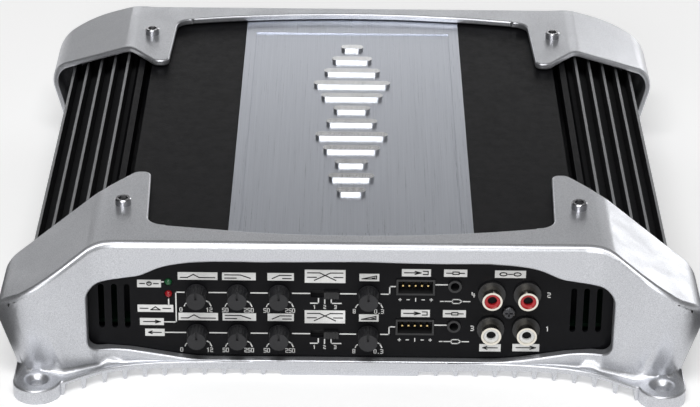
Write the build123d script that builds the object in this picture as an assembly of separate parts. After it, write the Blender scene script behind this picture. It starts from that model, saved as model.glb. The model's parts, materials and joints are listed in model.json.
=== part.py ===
"""Four-channel car amplifier: a finned heatsink body closed by two cast end caps.

Row frame, millimetres: +Z up, +X across the amplifier, the control end faces -Y.
The origin lies on the mounting surface, midway between the four mounting feet.
"""

import math
import os

from build123d import *

# ---------------------------------------------------------------- driving dimensions

# End caps, seen from the end (XZ outline) and from above (XY outline)
CAP_TOP = 59.5              # height of the cap's flat top
CAP_FACE_Y = 120.0          # distance of the flat middle of the cap face from the centre
CAP_TOP_WALL = 2.9
CAP_DECK_GAP = 0.6          # air between the cap's flat top and the deck beneath it
CAP_BLANK_BACK = 85.0       # a cap's blank is drawn this far behind its face, then trimmed
CAP_BLANK_AHEAD = 40.0      # and this far ahead of it
CAP_SIDE_WALL = 2.6
CAP_FACE_WALL = 4.0
CREASE_X = 101.3            # where the flat top turns down into the shoulder
SHOULDER_SLOPE = 0.56
BULGE_X = 142.1             # shoulder and lower side would meet here, before rounding
FOOT_THICK = 6.3
SIDE_FOOT_X = 133.0         # lower side of the cap where it meets the foot
CREASE_ROUND = 18.0
BULGE_ROUND = 12.0

# Mounting feet
FOOT_HOLE_X = 123.8
FOOT_REACH = 15.5           # foot holes lie this far ahead of the cap face
FOOT_ROUND = 9.6            # radius of the foot's round end about its hole
FOOT_HOLE_R = 2.75
FOOT_SINK_R = 4.8
FOOT_SLAB_DEEP = 16.0       # the foot slab runs this far back from the cap face

# Cooling ribs under the front lip of each cap
RIB_PITCH = 7.9
RIB_ROOT = 2.4              # width of a rib where it meets the lip
RIB_TIP = 1.2
RIB_OUTER_X = 113.7         # middle of the first rib, which is the foot's own side
RIB_GAPS = 11               # open gaps on each side
RIB_GAP_OUTER = 4.6         # gap height at the outer end, falling to the inner end
RIB_GAP_INNER = 2.0
RIB_GAP_DEEP = 10.0

# Window in the cap face
WINDOW_SILL_Z = 6.7
WINDOW_BROW = 8.0           # face left above the window, below the flat top

# Heatsink extrusion
DECK_THICK = 3.5
DECK_HALF_W = 96.2
SINK_WALL = 3.2
FIN_COUNT = 5
FIN_PITCH = 6.78
FIN_THICK = 1.1
FIN_FIRST_X = 101.6
FIN_DROP = 0.8              # tip of the first fin below the deck
FIN_DEPTH = 10.0
CHANNEL_X = 92.0            # slot in the deck that takes the end cap screws
CHANNEL_W = 3.2
CHANNEL_DEEP = 9.0
RAIL_X = 88.5               # inner face of the rail that hangs below the deck
RAIL_THICK = 3.5
RAIL_LOW_Z = 19.0
RAIL_END_CUT = 12.0         # rails stop this far short of each end, clear of the vents
CHANNEL_FLOOR = 2.0         # metal left under the screw channel
FLANGE_W = 13.0
FLANGE_THICK = 3.5
LEDGE_W = 2.8               # ledges in the side wall that hold the board's edges
LEDGE_THICK = 1.6

# Centre plate and its raised emblem
PLATE_HALF_W = 49.0
PLATE_THICK = 1.3
PLATE_RECESS = 1.0
PLATE_CLEAR = 0.2
PLATE_END_CLEAR = 1.5
PLATE_BORDER = 4.6          # raised border along each side of the pocket
POCKET_DEEP = 0.6
POCKET_FRONT = 11.0         # pocket's ends, measured in from the ends of the heatsink
POCKET_REAR = 18.0
EMBLEM_HIGH = 1.2
EMBLEM_BARS = (12.0, 19.0, 14.0, 24.0, 31.0, 22.0, 16.0, 27.0, 34.0, 25.0, 18.0, 10.0)
EMBLEM_BAR_W = 4.6
EMBLEM_FRONT_GAP = 37.0     # from the pocket's ends to the middles of the end bars
EMBLEM_REAR_GAP = 17.0

# Sheet parts
PANEL_THICK = 1.5
PANEL_HALF_W = 112.0
PANEL_CLEAR = 0.4
BOTTOM_THICK = 1.2
BOTTOM_HALF_W = 126.5
BOARD_THICK = 1.6
BOARD_Z = 14.0
BOARD_CLEAR = 0.1
CONTROL_BOARD_GAP = 10.0    # from the panel's back to the upright control board
CONTROL_BOARD_SIDE = 4.5    # from that board's edge to the rail's inner face
CONTROL_BOARD_LOW = 10.0
CONTROL_BOARD_DROP = 2.5    # from the underside of the deck to that board's top edge

# Control panel layout
ROWS = {"upper": 35.3, "lower": 17.1}
KNOB_COLUMNS = {"bass": -61.2, "low_pass": -44.9, "high_pass": -28.4, "level": 7.2}
SWITCH_X = -10.1
HEADER_X = 25.9
HEADER_RISE = 3.5           # header and aux centres stand above the row's line
AUX_X = 41.5
AUX_RISE = 4.2
RCA_RED_Z = 36.2
RCA_WHITE_Z = 20.4
RCA_COLUMNS = (56.2, 70.4)
RCA_SCREW_DROP = 0.4        # the sockets' screw sits just below their middle
LED_X = -72.4
LED_GREEN_Z = 40.0
LED_RED_Z = 34.6
VENT_XS = (89.0, 94.1, 99.3)
VENT_LOW = 18.9
VENT_HIGH = 38.8
VENT_W = 2.3

# Controls and connectors
KNOB_R_BASE = 4.2
KNOB_R_TIP = 3.8
KNOB_LEN = 7.0
KNOB_GAP = 0.6              # the knob's base stands off the panel
KNOB_FLUTES = 16
KNOB_FLUTE_R = 0.5
KNOB_POINTER_W = 0.9
KNOB_POINTER_DEEP = 0.9
SHAFT_R = 2.5
SHAFT_RUN = 0.05            # running clearance round a shaft in its potentiometer
SHAFT_SEAT = 0.02           # clearance of a shaft in its own knob
SHAFT_IN_KNOB = 4.8
POT_SIZE = 9.6
POT_DEEP = 7.4
POT_BORE_DEEP = 6.0
SLOT_W = 11.3
SLOT_H = 3.3
LEVER_W = 5.9
LEVER_CLEAR = 0.15
LEVER_OUT = 1.8
LEVER_IN = 1.6
SWITCH_BODY = (15.0, 7.0)
HEADER_W = 15.4
HEADER_H = 7.0
HEADER_WALL = 0.8
HEADER_OUT = 0.6
HEADER_DEEP = 8.2
HEADER_PINS = 5
HEADER_PITCH = 2.5
PIN_W = 0.64
AUX_BODY = 8.0
AUX_R = 1.8
AUX_NOSE_R = 2.7
AUX_OUT = 1.0
AUX_DEEP = 9.0
RCA_SHELL_R = 4.0
RCA_SHELL_WALL = 0.8
RCA_COLLAR_WALL = 1.5
RCA_COLLAR_OUT = 1.2
RCA_OUT = 7.0               # the shell stands this far out of the panel
RCA_HOLE_R = 1.9
RCA_SINK = 0.8              # the coloured insert stops short of the shell's mouth
RCA_MARGIN = 0.7            # housing left outside the collars
LED_R = 1.5
LED_OUT = 1.2
HOLE_CLEAR = 0.2

# Terminals and fuses at the other end
TERMINAL_OUT = 11.5         # terminal blocks stand this far out of the rear panel
TERMINAL_IN = 10.0
TERMINAL_SCREW_OUT = 7.2
FLANGE_RISE = 6.0           # upright flange behind the panel, above the block
BLOCK_FLANGE = 2.0
POWER_COUNT = 3
POWER_PITCH = 16.0
POWER_HIGH = 15.0
POWER_CLAMP = (11.0, 9.6, 12.2)
POWER_BORE_R = 4.2
POWER_SCREW_R = 2.9
POWER_X = -62.0
SPEAKER_COUNT = 8
SPEAKER_PITCH = 8.6
SPEAKER_HIGH = 11.0
SPEAKER_CLAMP = (6.2, 9.6, 8.4)
SPEAKER_BORE_R = 2.1
SPEAKER_SCREW_R = 1.7
SPEAKER_X = 50.0
BLOCK_END = 1.2             # plastic beyond the last terminal at each side
FUSE_XS = {"left": -21.5, "right": -8.5}
FUSE_Z = 27.6
FUSE_BODY = (5.1, 12.0, 19.1)
FUSE_BLADE = (0.8, 7.0, 5.2)
FUSE_BLADE_RISE = 6.6
FUSE_OUT = 4.5
FUSE_FIT = 0.3
FUSE_HOLDER = (-28.5, -1.5, 39.6)   # low x, high x, top

# Fasteners
SCREW_HEAD_R = 3.2
SCREW_HEAD_H = 2.8
SCREW_SOCKET_R = 2.1
SCREW_SOCKET_DEEP = 1.8
SCREW_SHANK_R = 1.55
SCREW_LEN = 11.0
EAR_BOSS = 2.0              # the ear's seat is wider than the screw head by this much
EAR_SCREW_BACK = 33.6       # ear screws lie this far behind the cap face
PAN_HEAD_R = 2.7
PAN_HEAD_H = 1.6
PAN_SHANK_R = 1.4
PAN_LEN = 5.0
CROSS_W = 0.7
CROSS_LONG = 3.0
THREAD_CLEAR = 0.05
PASS_CLEAR = 0.3
COVER_SCREW_IN = 7.7        # from the side of the heatsink
COVER_SCREW_END = 24.5      # from the end of the heatsink to its outer cover screws

# Power stage
TRANSISTOR = (4.5, 14.0, 18.0)
TRANSISTORS_PER_SIDE = 6
TRANSISTOR_PITCH = 28.0
TRANSISTOR_Z = 21.0
PAD_THICK = 0.3
CLAMP_BAR = (2.0, 8.0)
CLAMP_Z = 34.0
CAPACITOR_R = 9.0
CAPACITOR_HIGH = 33.0
CAPACITOR_XS = (-52.0, -31.0)
CAPACITOR_YS = (10.0, 31.0, 52.0)
TOROID = (22.0, 11.0, 15.0)         # outer radius, inner radius, height
TOROID_X = 35.0
TOROID_COIL_GAP = 14.5      # from the winding's core to the row of small coils
TOROID_RISE = 5.0
WIRE_WIDE = 2.2
WIRE_THICK = 1.8
WIRE_FIT = 0.1
TURNS = 20
COIL_R = 6.5
COIL_HIGH = 9.0
COIL_XS = (28.0, 46.0, 64.0, 10.0)
COIL_GAP = 13.0             # from the terminal blocks to the row of small coils

# Derived places
FOOT_HOLE_Y = CAP_FACE_Y + FOOT_REACH
FOOT_SLAB_Y = CAP_FACE_Y - FOOT_SLAB_DEEP
WINDOW_TOP_Z = CAP_TOP - WINDOW_BROW
DECK_TOP = CAP_TOP - CAP_TOP_WALL - CAP_DECK_GAP
FIN_FIRST_Z = DECK_TOP - FIN_DROP
PANEL_Y = CAP_FACE_Y - CAP_FACE_WALL        # outer face of each panel
PANEL_BACK = PANEL_Y - PANEL_THICK
SINK_HALF_LEN = PANEL_BACK
SINK_SIDE = FIN_FIRST_X + (FIN_COUNT - 1) * FIN_PITCH + FIN_THICK / 2
EAR_SCREW = (CHANNEL_X, CAP_FACE_Y - EAR_SCREW_BACK)
POCKET_FRONT_Y = POCKET_FRONT - SINK_HALF_LEN
POCKET_REAR_Y = SINK_HALF_LEN - POCKET_REAR
COVER_TOP = FOOT_THICK + BOTTOM_THICK
COVER_SCREW_X = SINK_SIDE - COVER_SCREW_IN
COVER_SCREW_YS = (COVER_SCREW_END - SINK_HALF_LEN, 0.0, SINK_HALF_LEN - COVER_SCREW_END)
BOARD_TOP = BOARD_Z + BOARD_THICK
CONTROL_Y = PANEL_BACK - CONTROL_BOARD_GAP
RCA_COLLAR_R = RCA_SHELL_R + RCA_COLLAR_WALL
RCA_SCREW = (sum(RCA_COLUMNS) / 2, (RCA_RED_Z + RCA_WHITE_Z) / 2 - RCA_SCREW_DROP)
COIL_Y = PANEL_BACK - TERMINAL_IN - COIL_GAP - COIL_R
TOROID_AT = (TOROID_X, COIL_Y - COIL_R - TOROID_COIL_GAP - TOROID[0])


# ---------------------------------------------------------------- small helpers

def shoulder_z(x, drop=0.0):
    """Height of the sloping shoulder at x, lowered at right angles to it by drop."""
    return CAP_TOP - SHOULDER_SLOPE * (x - CREASE_X) - drop * math.hypot(1, SHOULDER_SLOPE)


def block(x0, x1, y0, y1, z0, z1):
    """A box between two corners."""
    size = (abs(x1 - x0), abs(y1 - y0), abs(z1 - z0))
    middle = ((x0 + x1) / 2, (y0 + y1) / 2, (z0 + z1) / 2)
    return Pos(*middle) * Box(*size)


def rod_y(x, z, radius, y0, y1):
    """A round bar along Y between y0 and y1."""
    bar = Cylinder(radius, abs(y1 - y0))
    return Pos(x, (y0 + y1) / 2, z) * Rot(90, 0, 0) * bar


def rod_z(x, y, radius, z0, z1):
    """A round bar along Z between z0 and z1."""
    return Pos(x, y, (z0 + z1) / 2) * Cylinder(radius, abs(z1 - z0))


def mirrored(points):
    """A symmetric closed outline from its right half, listed from the middle outwards."""
    return points + [(-x, v) for x, v in reversed(points) if abs(x) > 1e-9]


def extrude_xz(face, y0, y1):
    """A face drawn in (x, z) on the XY plane, stood upright and run from y0 to y1."""
    solid = extrude(face, amount=abs(y1 - y0))
    return Pos(0, max(y0, y1), 0) * Rot(90, 0, 0) * solid


def group(solids):
    """Separate solids that share one node."""
    return Compound(children=list(solids))


def both_sides(half):
    """A right half joined to its mirror image."""
    return half + mirror(half, about=Plane.YZ)


def turned_end(shape):
    """The same piece at the other end of the amplifier."""
    return Rot(0, 0, 180) * shape


def filleted_outline(points, radii):
    """A polygon face whose corners have the given radii, keyed by their index."""
    face = make_face(Polyline(*points, close=True))
    for index, radius in radii.items():
        corner = Vector(*points[index])
        vertex = min(face.vertices(), key=lambda v: (Vector(v.X, v.Y) - corner).length)
        face = fillet(vertex, radius)
    return face


# ---------------------------------------------------------------- end caps

def bulge_z():
    return shoulder_z(BULGE_X)


def side_lean():
    """How far the lower side leans out per millimetre of height."""
    return (BULGE_X - SIDE_FOOT_X) / (bulge_z() - FOOT_THICK)


def cap_outline():
    """Outer XZ outline of a cap: flat top, sloping shoulders, sides drawn in to the feet."""
    low_x = SIDE_FOOT_X - side_lean() * (FOOT_THICK - 3.0)
    half = [(CREASE_X, CAP_TOP), (BULGE_X, bulge_z()), (low_x, 3.0)]
    points = mirrored(half)
    return filleted_outline(points, {0: CREASE_ROUND, 1: BULGE_ROUND,
                                     4: BULGE_ROUND, 5: CREASE_ROUND})


def cap_inner_outline():
    """Inner XZ outline of a cap's hollow, one wall inside the outer one."""
    top = CAP_TOP - CAP_TOP_WALL
    lean = side_lean()
    low_x = SIDE_FOOT_X - CAP_SIDE_WALL * math.hypot(1, lean)
    crease = CREASE_X + (shoulder_z(CREASE_X, CAP_SIDE_WALL) - top) / SHOULDER_SLOPE
    knee_z = (shoulder_z(low_x, CAP_SIDE_WALL) + SHOULDER_SLOPE * lean * FOOT_THICK)
    knee_z /= 1 + SHOULDER_SLOPE * lean
    knee_x = low_x + lean * (knee_z - FOOT_THICK)
    half = [(crease, top), (knee_x, knee_z), (low_x, FOOT_THICK)]
    points = mirrored(half)
    return filleted_outline(points, {0: CREASE_ROUND - 4, 1: BULGE_ROUND - CAP_SIDE_WALL,
                                     4: BULGE_ROUND - CAP_SIDE_WALL, 5: CREASE_ROUND - 4})


# Right half of the cap face seen from above, as (x, distance ahead of the flat face).
# The face is flat in the middle and sweeps forward to the feet. The first list is the
# line at the foot, the second the line at the height of the bulge.
FACE_AT_FOOT = [(88.0, 0.0), (99.0, 1.3), (109.0, 5.0), (117.0, 7.2), (124.0, 7.6),
                (130.0, 5.8), (133.2, 1.5), (134.0, -5.0)]
FACE_AT_BULGE = [(88.0, 0.0), (99.0, 1.3), (109.0, 6.4), (117.0, 10.6), (125.0, 13.2),
                 (133.0, 12.8), (139.8, 8.5), (142.9, 1.0)]


def face_section(z):
    """Right half of the XY region behind the cap face at height z."""
    share = (z - FOOT_THICK) / (bulge_z() - FOOT_THICK)
    points = []
    for (xa, ya), (xb, yb) in zip(FACE_AT_FOOT, FACE_AT_BULGE):
        x = xa + share * (xb - xa)
        y = ya + share * (yb - ya)
        points.append((x, -CAP_FACE_Y - y, z))
    back_y = CAP_BLANK_BACK - CAP_FACE_Y
    back_right = (points[-1][0], back_y, z)
    back_left = (0.0, back_y, z)
    front_left = (0.0, -CAP_FACE_Y, z)
    edges = [
        Line(front_left, points[0]),
        Spline(*points, tangents=[(1, 0, 0), (0.15, 1, 0)]),
        Line(points[-1], back_right),
        Line(back_right, back_left),
        Line(back_left, front_left),
    ]
    return make_face(edges)


# Inner edge of a cap from above, right half, front cap: the top band is widest at its
# ends, an ear reaches back over the deck to its screw, and the shoulder is cut slanting.
# Every distance along Y is counted back from the cap face.
BAND_MIDDLE = 8.3
BAND_SIDE = 15.6
EAR_INNER_X = 81.6
EAR_BACK = 63.6
EAR_TIP_X = 89.0
BOW_END = 8.0               # the bowed part of the inner edge ends this far from the ear
SHOULDER_CUT = [(101.0, 48.0), (123.0, 34.0), (134.0, 26.8), (146.0, 21.5)]


def cap_plan():
    """XY region of a cap up to its inner edge; it runs well past the face."""
    front = -CAP_FACE_Y - CAP_BLANK_AHEAD
    band_y, bow_y, ear_y = (back - CAP_FACE_Y for back in (BAND_SIDE, BAND_MIDDLE, EAR_BACK))
    corner = (EAR_INNER_X - 0.6, band_y + 0.6)
    tip = [(EAR_INNER_X + 1.2, ear_y), (EAR_TIP_X, ear_y)]
    right = [corner, *tip, *[(x, back - CAP_FACE_Y) for x, back in SHOULDER_CUT]]
    outline = right + [(SHOULDER_CUT[-1][0], front)]
    face = make_face(Polyline(*outline, *[(-x, y) for x, y in reversed(outline)], close=True))
    radii = {corner: 7.0, tip[0]: 3.2, tip[1]: 4.0, right[3]: 9.0, right[4]: 20.0}
    for (x, y), radius in radii.items():
        for side in (1, -1):
            spot = Vector(side * x, y)
            vertex = min(face.vertices(), key=lambda v: (Vector(v.X, v.Y) - spot).length)
            face = fillet(vertex, radius)
    half = EAR_INNER_X - BOW_END
    bow = make_face([
        ThreePointArc((-half, band_y), (0, bow_y), (half, band_y)),
        Line((half, band_y), (half, ear_y)),
        Line((half, ear_y), (-half, ear_y)),
        Line((-half, ear_y), (-half, band_y)),
    ])
    return face - bow


# Front edge of the lip from above, as (x, distance ahead of the flat cap face).
LIP_FRONT = [(0.0, 0.0), (54.0, 0.3), (81.5, 2.6), (98.0, 7.4), (106.5, 12.6), (113.5, 17.4)]


def foot_slab():
    """Flat foot of a cap: a lip along the face, and a round-ended foot about each hole."""
    lip = [(x, -CAP_FACE_Y - y) for x, y in LIP_FRONT]
    side_x = FOOT_HOLE_X + FOOT_ROUND
    edges = [
        Spline(*lip, tangents=[(1, 0), (1, -0.62)]),
        Line(lip[-1], (FOOT_HOLE_X, -FOOT_HOLE_Y)),
        Line((FOOT_HOLE_X, -FOOT_HOLE_Y), (FOOT_HOLE_X, -FOOT_SLAB_Y)),
        Line((FOOT_HOLE_X, -FOOT_SLAB_Y), (0, -FOOT_SLAB_Y)),
        Line((0, -FOOT_SLAB_Y), lip[0]),
    ]
    slab = extrude(make_face(edges), amount=FOOT_THICK)
    slab += rod_z(FOOT_HOLE_X, -FOOT_HOLE_Y, FOOT_ROUND, 0, FOOT_THICK)
    slab += block(FOOT_HOLE_X - FOOT_ROUND, side_x, -FOOT_HOLE_Y, -FOOT_SLAB_Y, 0, FOOT_THICK)
    return both_sides(slab)


# Right half of the window's outline. The upper part is listed outwards from the middle as
# (x, drop below its top), the lower part inwards as (x, rise above its sill).
WINDOW_UPPER = [(0.0, 0.0), (38.0, 0.5), (71.0, 2.1), (77.0, 3.9), (83.0, 6.7), (88.0, 7.8),
                (98.0, 9.1), (102.8, 11.5), (104.5, 16.0)]
WINDOW_LOWER = [(104.5, 9.8), (103.4, 6.7), (100.4, 5.2), (88.0, 4.3), (74.0, 1.9),
                (62.0, 0.3), (40.0, 0.0)]


def window_cut(y0, y1):
    """Window through the cap face: tall in the middle, stepping down to lower ends."""
    *top, round_middle, round_end = [(x, WINDOW_TOP_Z - drop) for x, drop in WINDOW_UPPER]
    top_arc = [top[-1], round_middle, round_end]
    low_arc = [(x, WINDOW_SILL_Z + rise) for x, rise in WINDOW_LOWER[:3]]
    bottom = [(x, WINDOW_SILL_Z + rise) for x, rise in WINDOW_LOWER[2:]]
    edges = [
        Spline(*top, tangents=[(1, 0), (1, -0.12)]),
        ThreePointArc(*top_arc),
        Line(top_arc[-1], low_arc[0]),
        ThreePointArc(*low_arc),
        Spline(*bottom, tangents=[(-1, -0.05), (-1, 0)]),
        Line(bottom[-1], (0.0, WINDOW_SILL_Z)),
        Line((0.0, WINDOW_SILL_Z), top[0]),
    ]
    return both_sides(extrude_xz(make_face(edges), y0, y1))


# Right half of the front of a cap's hollow, as (x, distance ahead of the panel's face).
HOLLOW_FRONT = [(97.0, 0.0), (105.0, 2.2), (112.0, 5.2), (118.0, 6.4), (125.0, 6.4),
                (129.0, 4.0), (131.5, -2.0), (150.0, -9.0)]


def cap_hollow():
    """Space inside a cap, which follows the forward sweep of the face at its ends."""
    right = [(x, -PANEL_Y - ahead) for x, ahead in HOLLOW_FRONT]
    outline = right + [(HOLLOW_FRONT[-1][0], 0.0)]
    points = outline + [(-x, y) for x, y in reversed(outline)]
    plan = make_face(Polyline(*points, close=True))
    column = Pos(0, 0, FOOT_THICK) * extrude(plan, amount=CAP_TOP)
    return extrude_xz(cap_inner_outline(), -CAP_FACE_Y - CAP_BLANK_AHEAD, 0.0) & column


def lip_front(x):
    """How far the lip stands ahead of the flat cap face at x."""
    for (xa, ya), (xb, yb) in zip(LIP_FRONT, LIP_FRONT[1:]):
        if x <= xb:
            break
    return ya + (x - xa) * (yb - ya) / (xb - xa)


def rib_gaps():
    """Open gaps between the small tapered ribs under the lip."""
    gaps = []
    for index in range(RIB_GAPS):
        middle = RIB_OUTER_X - (index + 0.5) * RIB_PITCH
        share = index / (RIB_GAPS - 1)
        high = RIB_GAP_OUTER + share * (RIB_GAP_INNER - RIB_GAP_OUTER)
        low_half, high_half = (RIB_PITCH - RIB_TIP) / 2, (RIB_PITCH - RIB_ROOT) / 2
        front = -CAP_FACE_Y - lip_front(middle)
        for side in (1, -1):
            x = side * middle
            outline = [(x - low_half, 0), (x - high_half, high), (x + high_half, high),
                       (x + low_half, 0), (x + low_half, -1), (x - low_half, -1)]
            gaps.append(extrude_xz(make_face(Polyline(*outline, close=True)),
                                   front - RIB_GAP_DEEP, front + RIB_GAP_DEEP))
    return gaps


def foot_holes():
    """Countersunk holes through the two feet of one cap."""
    holes = []
    for side in (1, -1):
        x, y = side * FOOT_HOLE_X, -FOOT_HOLE_Y
        deep = FOOT_SINK_R - FOOT_HOLE_R
        sink = Pos(x, y, FOOT_THICK - deep / 2) * Cone(FOOT_HOLE_R, FOOT_SINK_R, deep)
        holes.append(rod_z(x, y, FOOT_HOLE_R, -1.0, FOOT_THICK + 1.0) + sink)
    return holes


def end_cap():
    """Cast end cap at the control end."""
    behind_face = both_sides(loft([face_section(0.0), face_section(CAP_TOP + 1.0)],
                                  ruled=True))
    front = -CAP_FACE_Y - CAP_BLANK_AHEAD
    body = extrude_xz(cap_outline(), front, CAP_BLANK_BACK - CAP_FACE_Y) & behind_face
    body = body & extrude(cap_plan(), amount=CAP_TOP + 1.0)
    body -= cap_hollow()
    body -= window_cut(front, -PANEL_BACK)
    body -= block(-BULGE_X, BULGE_X, -FOOT_SLAB_Y, 0, -1, FOOT_THICK)
    body += foot_slab()
    for side in (1, -1):
        x, y = side * EAR_SCREW[0], -EAR_SCREW[1]
        body += rod_z(x, y, SCREW_HEAD_R + EAR_BOSS, DECK_TOP, CAP_TOP - CAP_TOP_WALL / 2)
        body -= rod_z(x, y, SCREW_SHANK_R + PASS_CLEAR, DECK_TOP - 1, CAP_TOP + 1)
    for cut in foot_holes() + rib_gaps():
        body -= cut
    return body


# ---------------------------------------------------------------- heatsink and top plate

def fin_root_z(x):
    """Height of the sloping floor between the fins."""
    return FIN_FIRST_Z - FIN_DEPTH - SHOULDER_SLOPE * (x - FIN_FIRST_X)


def heatsink():
    """Extruded body: deck, sloping finned shoulders, side walls, board ledges, flanges."""
    under = DECK_TOP - DECK_THICK
    inner_x = SINK_SIDE - SINK_WALL
    slant = SINK_WALL * math.hypot(1, SHOULDER_SLOPE)
    boss_low = DECK_TOP - CHANNEL_DEEP - CHANNEL_FLOOR
    boss_x = CHANNEL_X + (CHANNEL_X - RAIL_X)
    half = [
        (DECK_HALF_W, DECK_TOP), (DECK_HALF_W, fin_root_z(DECK_HALF_W)),
        (SINK_SIDE, fin_root_z(SINK_SIDE)), (SINK_SIDE, COVER_TOP),
        (SINK_SIDE - FLANGE_W, COVER_TOP), (SINK_SIDE - FLANGE_W, COVER_TOP + FLANGE_THICK),
        (inner_x, COVER_TOP + FLANGE_THICK), (inner_x, fin_root_z(inner_x) - slant),
        (boss_x, fin_root_z(boss_x) - slant), (boss_x, boss_low),
        (RAIL_X + RAIL_THICK, boss_low), (RAIL_X + RAIL_THICK, RAIL_LOW_Z),
        (RAIL_X, RAIL_LOW_Z), (RAIL_X, under),
    ]
    profile = make_face(Polyline(*mirrored(half), close=True))
    plate_half = PLATE_HALF_W + PLATE_CLEAR
    ledge_low = BOARD_Z - LEDGE_THICK / 2
    ledge_high = BOARD_TOP + BOARD_CLEAR + LEDGE_THICK / 2
    for side in (1, -1):
        for index in range(FIN_COUNT):
            x = FIN_FIRST_X + index * FIN_PITCH
            tip = FIN_FIRST_Z - SHOULDER_SLOPE * index * FIN_PITCH
            low = tip - FIN_DEPTH - 2.0
            profile += Pos(side * x, (tip + low) / 2) * Rectangle(FIN_THICK, tip - low)
        for z in (ledge_low, ledge_high):
            at_x = side * (inner_x - LEDGE_W / 2 + 0.5)
            profile += Pos(at_x, z) * Rectangle(LEDGE_W + 1, LEDGE_THICK)
        profile -= Pos(side * CHANNEL_X, DECK_TOP - CHANNEL_DEEP / 2) * Rectangle(
            CHANNEL_W, CHANNEL_DEEP)
    profile -= Pos(0, DECK_TOP - PLATE_RECESS / 2) * Rectangle(2 * plate_half, PLATE_RECESS)
    body = extrude_xz(profile.face(), -SINK_HALF_LEN, SINK_HALF_LEN)
    for side in (1, -1):
        for end in (1, -1):
            body -= block(side * (RAIL_X - 1), side * (RAIL_X + RAIL_THICK),
                          end * (SINK_HALF_LEN - RAIL_END_CUT), end * (SINK_HALF_LEN + 1),
                          RAIL_LOW_Z - 1, boss_low)
        for y in COVER_SCREW_YS:
            body -= rod_z(side * COVER_SCREW_X, y, PAN_SHANK_R + THREAD_CLEAR,
                          COVER_TOP - 1, COVER_TOP + FLANGE_THICK + 1)
        for y in clamp_screw_ys():
            hole = Cylinder(PAN_SHANK_R + THREAD_CLEAR, RAIL_THICK + 2)
            body -= Pos(side * (RAIL_X + RAIL_THICK / 2), y, CLAMP_Z) * Rot(0, 90, 0) * hole
    return body


def top_plate():
    """Brushed centre plate with a shallow pocket between two narrow borders."""
    floor = DECK_TOP - PLATE_RECESS
    top = floor + PLATE_THICK
    half_len = SINK_HALF_LEN - PLATE_END_CLEAR
    plate = block(-PLATE_HALF_W, PLATE_HALF_W, -half_len, half_len, floor, top)
    pocket_half = PLATE_HALF_W - PLATE_BORDER
    return plate - block(-pocket_half, pocket_half, POCKET_FRONT_Y, POCKET_REAR_Y,
                         top - POCKET_DEEP, top + 1)


def emblem():
    """Row of raised level bars seated in the plate's pocket."""
    floor = DECK_TOP - PLATE_RECESS + PLATE_THICK - POCKET_DEEP
    first = POCKET_FRONT_Y + EMBLEM_FRONT_GAP
    pitch = (POCKET_REAR_Y - EMBLEM_REAR_GAP - first) / (len(EMBLEM_BARS) - 1)
    solids = []
    for index, length in enumerate(EMBLEM_BARS):
        bar = RectangleRounded(length, EMBLEM_BAR_W, EMBLEM_BAR_W / 2 - 0.05)
        solids.append(Pos(0, first + index * pitch, floor) * extrude(bar, amount=EMBLEM_HIGH))
    return group(solids)


# ---------------------------------------------------------------- sheet parts and boards

def panel_blank(y0, y1):
    """Flat end panel that fills the cap's hollow, its top corners cut to the shoulders."""
    top = CAP_TOP - CAP_TOP_WALL - PANEL_CLEAR
    side_z = shoulder_z(PANEL_HALF_W, CAP_SIDE_WALL) - PANEL_CLEAR
    corner_x = PANEL_HALF_W - (top - side_z) / SHOULDER_SLOPE - 2 * PANEL_CLEAR
    half = [(corner_x, top), (PANEL_HALF_W, side_z), (PANEL_HALF_W, FOOT_THICK)]
    return extrude_xz(make_face(Polyline(*mirrored(half), close=True)), y0, y1)


def vent_slots(y0, y1):
    """Upright round-ended slots near both ends of a panel."""
    slots = []
    for side in (1, -1):
        for x in VENT_XS:
            slot = SlotOverall(VENT_HIGH - VENT_LOW, VENT_W, rotation=90)
            face = Pos(side * x, (VENT_LOW + VENT_HIGH) / 2) * slot
            slots.append(extrude_xz(face.face(), y0, y1))
    return slots


def front_panel():
    """Control panel with a hole for every control and connector."""
    y0, y1 = -PANEL_Y, -PANEL_BACK
    front, back = y0 - 1, y1 + 1
    panel = panel_blank(y0, y1)
    for cut in vent_slots(front, back):
        panel -= cut
    for z in ROWS.values():
        for x in KNOB_COLUMNS.values():
            panel -= rod_y(x, z, SHAFT_R + 2 * HOLE_CLEAR, front, back)
        panel -= block(SWITCH_X - SLOT_W / 2, SWITCH_X + SLOT_W / 2, front, back,
                       z - SLOT_H / 2, z + SLOT_H / 2)
        half_w = HEADER_W / 2 + HOLE_CLEAR
        half_h = HEADER_H / 2 + HOLE_CLEAR
        middle = z + HEADER_RISE
        panel -= block(HEADER_X - half_w, HEADER_X + half_w, front, back,
                       middle - half_h, middle + half_h)
        panel -= rod_y(AUX_X, z + AUX_RISE, AUX_NOSE_R + HOLE_CLEAR, front, back)
    for x in RCA_COLUMNS:
        for z in (RCA_RED_Z, RCA_WHITE_Z):
            panel -= rod_y(x, z, RCA_COLLAR_R + HOLE_CLEAR, front, back)
    for z in (LED_GREEN_Z, LED_RED_Z):
        panel -= rod_y(LED_X, z, LED_R + HOLE_CLEAR, front, back)
    return panel - rod_y(*RCA_SCREW, PAN_SHANK_R + PASS_CLEAR, front, back)


def rear_panel():
    """Panel at the other end, cut out for the terminal blocks and the fuse holder."""
    y0, y1 = PANEL_BACK, PANEL_Y
    panel = panel_blank(y0, y1)
    for cut in vent_slots(y0 - 1, y1 + 1):
        panel -= cut
    for x0, x1, z1 in (*terminal_spans(), FUSE_HOLDER):
        panel -= block(x0 - HOLE_CLEAR, x1 + HOLE_CLEAR, y0 - 1, y1 + 1,
                       BOARD_TOP - HOLE_CLEAR, z1 + HOLE_CLEAR)
    for x, z in rear_screw_places():
        panel -= rod_y(x, z, PAN_SHANK_R + PASS_CLEAR, y0 - 1, y1 + 1)
    return panel


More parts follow.
